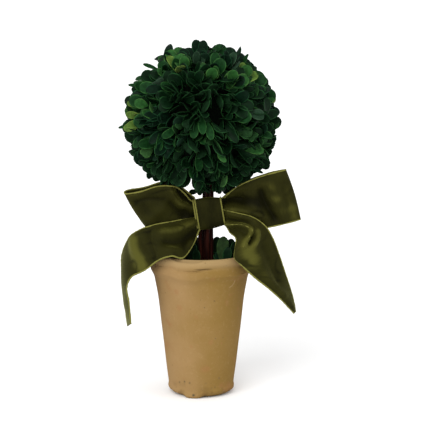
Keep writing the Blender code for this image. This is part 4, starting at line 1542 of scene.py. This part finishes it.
@dataclass
class LeafBall(Foliage):
    """The clipped ball: shoots all round a dark core, forked into fine twigs of paired leaves.

    Lumps are the bumps and hollows of its outline, seen from the front: the angle from the right
    in degrees, and how far each stands out as a share of the radius. Accents are directions from
    the centre in which a twig ends in leaves of another tint.
    """

    name: str = "ball"
    node: str = "leaf_ball"
    base_name: str = "ball_core"
    base_finish: MossFinish = SHADED_CORE_FOAM
    twig_radii: tuple = (0.00060, 0.00051, 0.00036)
    twig_sides: int = 5
    centre: tuple = (0.0008, 0.0, 0.2436)
    radius: float = 0.0710
    squash: float = 0.970
    belly: float = 0.010
    core_radius: float = 0.0480
    core_lowest: float = -1.35
    core_rows: int = 60
    core_columns: int = 120
    core_ripples: Ripples = Ripples(0.0008, 0.007, 21)
    neck: tuple = ((0.0, 0.1897), (0.0085, 0.1897), (0.0100, 0.1915), (0.0104, 0.1945))
    neck_shift: float = 0.0050
    neck_heights: tuple = (0.215, 0.195)
    rough_heights: tuple = (0.1897, 0.1997)
    shoots: int = 98
    shoot_reach: float = 0.0050
    shoot_lean: float = 0.28
    forks: int = 2
    fork_angle: float = math.radians(24)
    fork_reach: tuple = (0.4, 1.0)
    core_twigs: int = 100
    core_turn: float = 1.3
    core_lean: float = 0.12
    twig_foot: float = 0.002
    least_reach: float = 0.001
    reach_limits: tuple = (-0.016, 0.018)
    whorl: tuple = (0.02, -0.89, 0.45)
    whorl_size: float = 0.25
    sweep: float = 0.45
    sweep_below: float = 1.30
    leaf: LeafSizes = LeafSizes(0.0208, 0.0118, (0.74, 1.15), (0.78, 1.16), (0.10, 0.70), (0.05, 0.45))
    leaf_angles: tuple = (33.0, 33.0, 23.0, 23.0, 8.0)
    leaf_turns: tuple = (0.0, 180.0, 90.0, 270.0, 45.0)
    trims: tuple = (0.84, 0.88, 0.93, 0.96, 0.985)
    trim_chance: tuple = (0.96, 1.0)
    turn_chance: float = 0.3
    angle_chance: float = 0.14
    roll: float = 0.35
    droop: float = 0.06
    face_whorl: float = 0.7
    edge_near: tuple = (0.10, 0.50)
    edge_below: tuple = (-0.28, 0.05)
    edge_middle: tuple = (0.90, 0.97)
    edge_strength: float = 1.5
    fold_below: float = 0.30
    roll_below: float = 0.25
    narrow_below: float = 0.22
    thin_below: float = 0.30
    stray: float = 0.14
    wild: float = 0.03
    wild_reach: float = 0.040
    # Painted shade: where twigs take the darkest tint, near the whorl and towards the bottom.
    dark_middle: tuple = (0.72, 0.95)
    shaded_below: tuple = (0.30, 0.75)
    shaded_below_share: float = 0.8
    hollows: Ripples = Ripples(0.09, 0.032, 23)
    lump_turn: float = 7.5
    lump_depth: float = 0.45
    lumps: tuple = (
        (-50, 0.04), (-39, 0.07), (-28, 0.04), (-15, -0.04), (-4, 0.04), (14, -0.08), (25, 0.07), (36, -0.04),
        (45, -0.02), (55, -0.04), (65, 0.05), (84, -0.04), (104, -0.02), (116, 0.03), (129, -0.09),
        (138, -0.08), (146, 0.06), (155, -0.05), (164, 0.02), (175, -0.02), (215, 0.04), (238, 0.09),
    )
    clip_spare: float = 0.0026
    opening: tuple = (-0.0145, -0.0020, 0.1890)
    sight_slope: float = 0.171
    singles: tuple = (
        SingleLeaves(Tint.DEEP, (0.42, 0.50), (
            ((15.4, -7, 188), (16.2, -7, 177.4)), ((-0.6, -5, 187.5), (1.2, -6, 178)),
            ((-0.9, -5.4, 187), (-1, -5.6, 176)), ((-0.6, 1, 179), (-10.6, 2, 177.6)),
            ((-9.4, 8, 204), (-10.4, 6, 189.6)), ((20.6, 5, 191), (22.4, 4, 175.4)),
            ((25.6, 4, 193), (27.6, 3, 178)), ((30.8, 3, 196), (33.4, 2.5, 181.4)),
            ((36.2, 3, 200), (39.4, 2, 186)), ((5.6, -6, 188), (6.6, -7.5, 178)),
            ((-4.6, -4, 189), (-3.6, -5, 180)), ((21.5, -17, 193.5), (24.4, -20.5, 183.6)),
            ((27.5, -16, 196), (30.6, -20.5, 187)), ((-25, -16, 198.5), (-23, -20.5, 187.6)),
            ((-16.5, -16, 196), (-14.6, -19.5, 186.6)), ((10.6, -13, 190), (12, -15, 180.5)),
        )),
        SingleLeaves(Tint.MID, (0.20, 0.28), (
            ((-55, 0, 238), (-71.8, -1, 235.1)), ((-46, 0, 269.5), (-62.6, -2, 272.6)),
            ((-34, 0, 284), (-49.6, -2, 290.6)), ((33, 0, 284), (40.5, -3, 299.2)),
        )),
        SingleLeaves(Tint.LIME, (0.36, 0.50), (
            ((-48, -20, 256.5), (-62.6, -25, 259)), ((-48.5, -27, 247.5), (-63.6, -31.5, 250)),
            ((-47.5, -26, 243.5), (-62.6, -35.5, 240.5)), ((-49, -18, 240), (-66.2, -22, 236.5)),
        )),
        SingleLeaves(Tint.FRESH, (0.50, 0.60), (
            ((8.6, -35.5, 277), (10.4, -50, 290.5)), ((25.6, -33, 276), (28.6, -46, 288.5)),
            ((-43, -39, 258), (-55, -47.5, 262)),
        )),
        SingleLeaves(Tint.PINE, (0.55, 0.62), (
            ((-2.6, -3, 295), (-4.2, -3, 311.3)), ((2.6, -5, 295), (2.2, -6, 310.9)),
        )),
        SingleLeaves(Tint.MID, (0.28, 0.36), (
            ((0.4, -50, 253.5), (2.4, -67.5, 238)), ((-3.6, -51, 250), (-5.6, -67, 234.5)),
            ((5.6, -52, 248), (9.6, -66.5, 233)),
        )),
    )
    accent_leaves: int = 2
    accents: tuple = (
        (-0.89, -0.45, 0.09, Tint.LIME), (-0.89, -0.45, -0.06, Tint.LIME), (-0.74, -0.57, -0.36, Tint.FRESH),
        (-0.80, -0.60, -0.02, Tint.FRESH), (0.60, -0.36, 0.71, Tint.LIME), (-0.30, -0.60, 0.74, Tint.LIME),
        (-0.71, -0.53, 0.46, Tint.SMOKE), (0.30, -0.41, 0.86, Tint.SMOKE), (-0.04, -0.46, 0.89, Tint.SMOKE),
        (0.10, -0.72, 0.68, Tint.FRESH), (0.38, -0.68, 0.62, Tint.FRESH), (-0.69, -0.70, 0.16, Tint.FRESH),
        (0.10, -0.90, -0.40, Tint.FRESH), (0.35, -0.85, -0.38, Tint.FRESH), (0.95, 0.30, 0.10, Tint.LIME),
        (-0.30, 0.95, 0.20, Tint.LIME), (0.40, 0.85, 0.50, Tint.SMOKE),
    )
    seed: int = 23

    def place(self, points: Array) -> Array:
        """Points from the ball's centre, with its flattening taken out."""
        return (points - np.array(self.centre)) / (1.0, 1.0, self.squash)

    def on_core(self, outward: Array) -> Array:
        """Points on the core, in directions from the ball's centre."""
        return np.array(self.centre) + outward * self.core_radius * (1, 1, self.squash)

    def combed(self, outward: Array) -> Array:
        """How far shoots are combed away from the whorl at the front, and alike from its opposite.

        The push is square to the whorl's direction. It is most beside the whorl, and fades to
        nothing a quarter turn away from it.

        Args:
            outward: The shoots' directions from the centre.

        Returns:
            A push for each shoot.
        """
        whorl = unit(np.array(self.whorl))
        part = outward @ whorl
        away = outward - part[:, None] * whorl
        size = np.linalg.norm(away, axis=-1)
        push = self.sweep + self.sweep_below * eased(-outward[:, 2], *self.edge_below)
        return away * (push * np.abs(part) / np.maximum(size, self.whorl_size))[:, None]

    def twigs(self) -> tuple[Array, Array]:
        """Lean the shoots, fork them into fine twigs, and set single twigs between them.

        Returns:
            The foot and the direction of each fine twig.
        """
        chance = self.chance
        outward = spread_directions(self.shoots, 0.0)
        lean = unit(outward + self.combed(outward) + chance.normal(0, self.shoot_lean, outward.shape))
        side = square_to(chance.normal(size=outward.shape), lean)
        ways = turned_about(side[:, None], lean[:, None], circle(self.forks)[None])
        forked = lean[:, None] * math.cos(self.fork_angle) + ways * math.sin(self.fork_angle)
        reach = self.shoot_reach * np.linspace(*self.fork_reach, self.forks)[None, :, None]
        joints = self.on_core(outward)[:, None] + lean[:, None] * reach
        between = spread_directions(self.core_twigs, self.core_turn)
        straight = unit(between + self.combed(between) + chance.normal(0, self.core_lean, between.shape))
        starts = np.concatenate([joints.reshape(-1, 3), self.on_core(between)])
        return starts, np.concatenate([forked.reshape(-1, 3), straight])

    def grow(self) -> tuple[Leaves, Array]:
        """Set leaves on every twig, each where its tip then ends near the ball's surface.

        Returns:
            The leaves, and the centre lines of the twigs.
        """
        chance = self.chance
        starts, headings = self.twigs()
        outward = unit(self.place(starts))
        bladed = self.bladed(outward)
        each = len(self.leaf_angles)
        shape = (len(starts), each)
        side = square_to(chance.normal(size=starts.shape), headings)
        turn = np.radians(self.leaf_turns) + chance.normal(0, self.turn_chance, shape)
        angle = np.radians(self.leaf_angles) + chance.normal(0, self.angle_chance, shape)
        axis = np.broadcast_to(headings[:, None], (*shape, 3))
        away = turned_about(np.broadcast_to(side[:, None], axis.shape), axis, turn)
        along = unit(axis * np.cos(angle)[..., None] + away * np.sin(angle)[..., None] - (0, 0, self.droop))
        roll = chance.normal(0, 1, shape) * (self.roll + self.roll_below * bladed)[:, None]
        up = turned_about(self.faced(outward, along, bladed), along, roll)
        length = self.leaf.length * chance.uniform(*self.leaf.lengths, shape)
        reach = self.reach(starts, axis, along * length[..., None])
        tint = self.tints(outward, each)
        narrow = 1 - self.narrow_below * bladed[:, None]
        leaves = Leaves.listed(
            starts[:, None] + axis * reach[..., None], along, up, length,
            self.leaf.width * chance.uniform(*self.leaf.widths, shape) * narrow,
            chance.uniform(*self.leaf.bends, shape) * chance.choice((-1.0, 1.0, 1.0), shape),
            chance.uniform(*self.leaf.folds, shape) + self.fold_below * bladed[:, None], tint,
        )
        leaves = leaves.pick(chance.random(tint.size) >= self.thin_below * np.repeat(bladed, each))
        leaves = leaves.pick(self.kept(leaves.ends))
        leaves = Leaves.joined([leaves, *(single.leaves(chance) for single in self.singles)])
        tops = starts + headings * np.maximum(reach.max(axis=1), self.least_reach)[:, None]
        fine = np.linspace(starts - headings * self.twig_foot, tops, 3, axis=1)
        return leaves, fine

    def bladed(self, outward: Array) -> Array:
        """How far the leaves of each twig stand on edge: fully below, at the front and the back."""
        return eased(np.abs(outward[:, 1]), *self.edge_near) * eased(-outward[:, 2], *self.edge_below)

    def faced(self, outward: Array, along: Array, bladed: Array) -> Array:
        """Face the leaves outward, and a little to the whorl or to its opposite, whichever is nearer.

        Leaves that stand on edge, and those right at the whorl, face sideways instead: square to
        themselves and to the way outward. So they show as narrow blades, wherever they point.

        Args:
            outward: The twigs' directions from the centre.
            along: The leaves' directions.
            bladed: How far the leaves of each twig stand on edge.

        Returns:
            The normal of each leaf's face, square to the leaf.
        """
        whorl = unit(np.array(self.whorl))
        part = outward @ whorl
        facing = outward + self.face_whorl * np.sign(part)[:, None] * whorl
        side = unit(np.cross(outward[:, None], along))
        side = side * self.chance.choice((-1.0, 1.0), along.shape[:2])[..., None]
        edge = np.maximum(bladed, eased(np.abs(part), *self.edge_middle))[:, None, None]
        return square_to(facing[:, None] * (1 - edge) + side * edge * self.edge_strength, along)

    def tints(self, outward: Array, each: int) -> Array:
        """Deal out the tints: one to a twig, with a few strays, painted shade and placed accents.

        Args:
            outward: The twigs' directions from the centre.
            each: Leaves to a twig.

        Returns:
            The number of each leaf's tint.
        """
        chance = self.chance
        shares = [tint.value.share for tint in TINTS]
        twig = chance.choice(len(TINTS), len(outward), p=shares)
        every = np.repeat(twig[:, None], each, axis=1)
        strays = chance.random(every.shape) < self.stray
        every = np.where(strays, chance.choice(len(TINTS), every.shape, p=shares), every)
        # Painted shade: twigs near the whorl's middle and its opposite, and towards the bottom, take the
        # darkest tint.
        dark = eased(np.abs(outward @ unit(np.array(self.whorl))), *self.dark_middle)
        dark = np.maximum(dark, self.shaded_below_share * eased(-outward[:, 2], *self.shaded_below))
        every = np.where(chance.random(every.shape) < dark[:, None], TINTS.index(Tint.DEEP), every)
        for *direction, tint in self.accents:
            every[np.argmax(outward @ np.array(direction)), -self.accent_leaves:] = TINTS.index(tint)
        return every

    def reach(self, starts: Array, axis: Array, blade: Array) -> Array:
        """How far up its twig each leaf is rooted, so that its tip ends at a share of the radius.

        The tip lies at the start, plus the blade, plus the reach along the axis. Its distance
        from the centre equals the trimmed radius, which is a quadratic equation in the reach.

        Args:
            starts: The feet of the twigs.
            axis: The direction of each leaf's twig.
            blade: The way from each leaf's root to its tip.

        Returns:
            A reach for each leaf, in metres.
        """
        chance = self.chance
        tip = self.place(starts[:, None] + blade)
        way = axis / (1.0, 1.0, self.squash)
        trimmed = self.radius * np.array(self.trims) * chance.uniform(*self.trim_chance, tip.shape[:2])
        trimmed *= self.trimmed_to(unit(tip)) + self.wild_reach * (chance.random(tip.shape[:2]) < self.wild)
        square, mixed = np.sum(way * way, -1), np.sum(way * tip, -1)
        inside = np.maximum(mixed**2 - square * (np.sum(tip * tip, -1) - trimmed**2), 0.0)
        return np.clip((np.sqrt(inside) - mixed) / square, *self.reach_limits)

    def kept(self, tip: Array) -> Array:
        """Clip off the leaves past the ball's surface, and those in an opening beside the sticks.

        The opening lies left of the sticks, below a line of sight that sinks to the back by the
        sight slope.

        Args:
            tip: The leaves' tips.

        Returns:
            For each leaf, whether it stays.
        """
        placed = self.place(tip)
        limit = self.radius * self.trimmed_to(unit(placed)) + self.clip_spare
        inside = np.linalg.norm(placed, axis=-1) < limit
        left, right, top = self.opening
        seen_height = tip[:, 2] + self.sight_slope * tip[:, 1]
        open_sky = (tip[:, 0] > left) & (tip[:, 0] < right) & (seen_height < top)
        return inside & ~open_sky

    def trimmed_to(self, direction: Array) -> Array:
        """How large the ball is in each direction.

        It is a little wider below, with soft hollows between the sprays at the front and the
        back. Round its outline as seen from the front, each lump adds a bell curve of the angle
        from its own, which fades towards the front and the back.

        Args:
            direction: Unit vectors from the centre.

        Returns:
            Shares of the radius.
        """
        turn = np.degrees(np.arctan2(direction[..., 2], direction[..., 0]))
        depth = bell(direction[..., 1], self.lump_depth)
        hollow = np.clip(self.hollows.at(direction * self.radius), 0, self.hollows.size) * (1 - depth)
        lumps = sum(lump * bell(beside(turn, angle, whole=360), self.lump_turn) for angle, lump in self.lumps)
        return 1 - self.belly * direction[..., 2] - hollow + depth * lumps

    def base(self) -> Array:
        """The dark core: a ball with a short neck for the sticks, roughened by ripples.

        Returns:
            The grid of points.
        """
        angle = np.linspace(self.core_lowest, math.pi / 2, self.core_rows)
        height = self.centre[2] + self.core_radius * self.squash * np.sin(angle)
        ball = np.stack([self.core_radius * np.cos(angle), height], axis=-1)
        grid = turned(np.concatenate([self.neck, ball]), self.core_columns)
        grid[..., 0] += self.centre[0] + self.neck_shift * ramp(grid[..., 2], *self.neck_heights)
        rough = self.core_ripples.at(grid) * ramp(grid[..., 2], *self.rough_heights)
        return grid + unit(self.place(grid) + 1e-9) * rough[..., None]


@dataclass
class MouthFoliage(Foliage):
    """The moss and the low leaves in the pot's mouth, on short shoots that lean outwards."""

    name: str = "mouth"
    node: str = "pot_foliage"
    base_name: str = "mouth_moss"
    base_finish: MossFinish = SHADED_POT_MOSS
    twig_radii: tuple = (0.0006, 0.0006, 0.0006)
    twig_sides: int = 5
    ground: float = 0.1083
    moss_radius: float = 0.0245
    moss_width: float = 0.0105
    moss_height: float = 0.0045
    moss_foot: float = 0.0012
    moss_rows: int = 14
    moss_columns: int = 160
    moss_ripples: Ripples = Ripples(0.0009, 0.006, 31)
    rough_heights: tuple = (0.001, 0.003)
    shoots: int = 46
    shoot_turn: float = 0.08
    shoot_rows: tuple = (-0.6, 0.5)
    shoot_foot: float = 0.0015
    shoot_lean: float = 0.2
    shoot_length: tuple = (0.004, 0.010)
    leaf: LeafSizes = LeafSizes(0.0180, 0.0112, (0.75, 1.08), (0.8, 1.15), (0.1, 0.6), (0.05, 0.4))
    leaves_each: int = 4
    leaf_roots: tuple = (0.5, 1.0)
    turn_chance: float = 0.25
    way_chance: float = 0.12
    roll: float = 0.5
    spread: float = 0.62
    face_outward: float = 0.3
    tint_shares: tuple = (0.6, 0.36, 0.04)
    top: float = 0.1368
    front_top: float = 0.1195
    front_to_back: tuple = (-0.004, 0.010)
    least_share: float = 0.5
    top_spare: float = 0.001
    reach: float = 0.0370
    singles: SingleLeaves = SingleLeaves(Tint.DEEP, (0.40, 0.46), (
        ((17.6, -5, 113.5), (19.8, -2.5, 139.3)), ((23.5, 2, 114), (26.5, 5, 136)),
        ((14.5, 7, 113.5), (13.6, 9, 137)), ((-5.6, 5.5, 113.5), (-4.3, 6, 141.4)),
        ((26.5, -5, 113.5), (30.2, -3, 134.6)), ((21, -10, 113), (24, -12, 131.5)),
        ((-9, -7, 113.5), (-7.5, -5, 135)), ((-17, -4, 113.5), (-17, -3, 134)),
        ((-3, -14, 113), (-4, -16.5, 130)),
    ))
    first_tint: Tint = Tint.OLIVE
    seed: int = 5

    def base(self) -> Array:
        """The ring of moss: a half round section turned about the sticks, roughened by ripples.

        Returns:
            The grid of points.
        """
        angle = np.linspace(0, math.pi, self.moss_rows)
        height = self.ground + self.moss_foot + self.moss_height * np.sin(angle)
        section = np.stack([self.moss_radius + self.moss_width * np.cos(angle), height], axis=-1)
        feet = np.array([(self.moss_radius + side * self.moss_width, self.ground) for side in (1, -1)])
        grid = turned(np.concatenate([feet[:1], section, feet[1:], feet[:1]]), self.moss_columns)
        lift = ramp(grid[..., 2] - self.ground, *self.rough_heights)
        grid[..., 2] += lift * self.moss_ripples.at(grid)
        return grid

    def grow(self) -> tuple[Leaves, Array]:
        """Set leaves round the tip of each shoot, inside the rim and under a level top.

        Returns:
            The leaves, and the centre lines of the shoots.
        """
        chance = self.chance
        count, each = self.shoots, self.leaves_each
        angle = circle(count) + chance.uniform(-self.shoot_turn, self.shoot_turn, count)
        row = np.array(self.shoot_rows)[np.arange(count) % 2]
        outward = np.stack([np.cos(angle), np.sin(angle), np.zeros(count)], axis=-1)
        foot = outward * (self.moss_radius + self.moss_width * row)[:, None]
        foot[:, 2] = self.ground + self.shoot_foot
        axis = unit((0, 0, 1) + outward * (self.shoot_lean * row)[:, None])
        tip = foot + axis * chance.uniform(*self.shoot_length, count)[:, None]
        turn = angle[:, None] + circle(each) + chance.normal(0, self.turn_chance, (count, each))
        side = np.stack([np.cos(turn), np.sin(turn), np.zeros_like(turn)], axis=-1) * self.spread
        along = unit(axis[:, None] + side + chance.normal(0, self.way_chance, side.shape))
        facing = square_to(side + outward[:, None] * self.face_outward, along)
        up = turned_about(facing, along, chance.normal(0, self.roll, (count, each)))
        length = self.leaf.length * chance.uniform(*self.leaf.lengths, (count, each))
        share = chance.uniform(*self.leaf_roots, (count, each))[..., None]
        root = foot[:, None] + (tip - foot)[:, None] * share
        tint = chance.choice(len(self.tint_shares), count * each, p=self.tint_shares)
        leaves = Leaves.listed(
            root, along, -up, length, self.leaf.width * chance.uniform(*self.leaf.widths, count * each),
            chance.uniform(*self.leaf.bends, count * each), chance.uniform(*self.leaf.folds, count * each),
            tint,
        )
        top = self.front_top + (self.top - self.front_top) * eased(leaves.ends[:, 1], *self.front_to_back)
        rise = np.maximum(leaves.ends[:, 2] - leaves.root[:, 2], TINY)
        leaves.length *= np.clip((top - leaves.root[:, 2]) / rise, self.least_share, 1.0)
        ends = leaves.ends
        inside = (np.linalg.norm(ends[:, :2], axis=-1) < self.reach) & (ends[:, 2] < top + self.top_spare)
        singles = self.singles.leaves(chance)
        singles.tint[0] = TINTS.index(self.first_tint)
        every = Leaves.joined([singles, leaves.pick(inside)])
        return every, np.linspace(foot, tip, 3, axis=1)


@dataclass
class Studio:
    """The pale floor, the soft lights and the camera at the photograph's angle.

    Each light has a name, a place, the angle from which its light comes, in degrees, and a strength.
    """

    camera_place: tuple = (0.0175, -1.70, 0.4405)
    camera_pitch: float = math.radians(9.7)
    film_width: float = 36.0
    focal_length: float = 1944.0 / 442.0 * 36.0
    near_limit: float = 0.05
    floor_size: float = 16.0
    floor_height: float = -0.0001
    sky: Colour = (1.0, 1.0, 1.0)
    sky_strength: float = 0.90
    lights: tuple = (
        ("key", (-0.52, -1.36, 0.85), 50.0, 2.35),
        ("fill", (1.30, -0.30, 0.90), 60.0, 0.45),
    )

    def build(self) -> None:
        """Make everything that isn't part of the object."""
        scene = bpy.context.scene
        scene.view_settings.view_transform = "Standard"
        self.floor()
        for name, place, angle, strength in self.lights:
            self.light(name, Vector(place), math.radians(angle), strength)
        scene.world = bpy.data.worlds.new("studio")
        scene.world.use_nodes = True
        background = scene.world.node_tree.nodes["Background"].inputs
        background["Color"].default_value = (*self.sky, 1.0)
        background["Strength"].default_value = self.sky_strength
        lens = bpy.data.cameras.new("camera")
        lens.sensor_width = self.film_width
        lens.lens = self.focal_length
        lens.clip_start = self.near_limit
        camera = bpy.data.objects.new("camera", lens)
        camera.location = self.camera_place
        camera.rotation_euler = (math.pi / 2 - self.camera_pitch, 0.0, 0.0)
        scene.collection.objects.link(camera)
        scene.camera = camera

    def floor(self) -> None:
        """Make a wide level floor, just under the pot."""
        half = self.floor_size / 2
        corners = ((-half, -half), (half, -half), (half, half), (-half, half))
        points = np.array([(*corner, self.floor_height) for corner in corners])
        make_piece("studio_floor", None, [FLOOR], points, np.array([[0, 1, 2, 3]]), weld=False)

    def light(self, name: str, place: Vector, angle: float, strength: float) -> None:
        """Make a broad far light, which shines from its place towards the object.

        Args:
            name: Its name.
            place: Where it stands.
            angle: How wide it looks from the object.
            strength: Its strength.
        """
        lamp = bpy.data.lights.new(name, "SUN")
        lamp.angle = angle
        lamp.energy = strength
        item = bpy.data.objects.new(name, lamp)
        item.location = place
        item.rotation_euler = (-place).to_track_quat("-Z", "Y").to_euler()
        bpy.context.scene.collection.objects.link(item)


def dress_plug() -> None:
    """Give the CAD foam plug, which keeps its shape, its finish."""
    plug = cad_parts["foam_plug"]
    plug.data.materials.clear()
    plug.data.materials.append(PLUG_FOAM.material())


def main() -> None:
    """Build the pot, the sticks, the bow, the leaves and the studio, in that order."""
    logging.basicConfig(level=logging.INFO, format="%(name)s: %(message)s")
    pot = ClayPot().build()
    sticks = StickBundle().build()
    dress_plug()
    bow = VelvetBow().build()
    bpy.context.view_layer.update()
    shape = LeafShape()
    LeafBall(shape).build(bow + sticks)
    MouthFoliage(shape).build(bow + sticks + [pot])
    Studio().build()


if __name__ == "__main__":
    main()
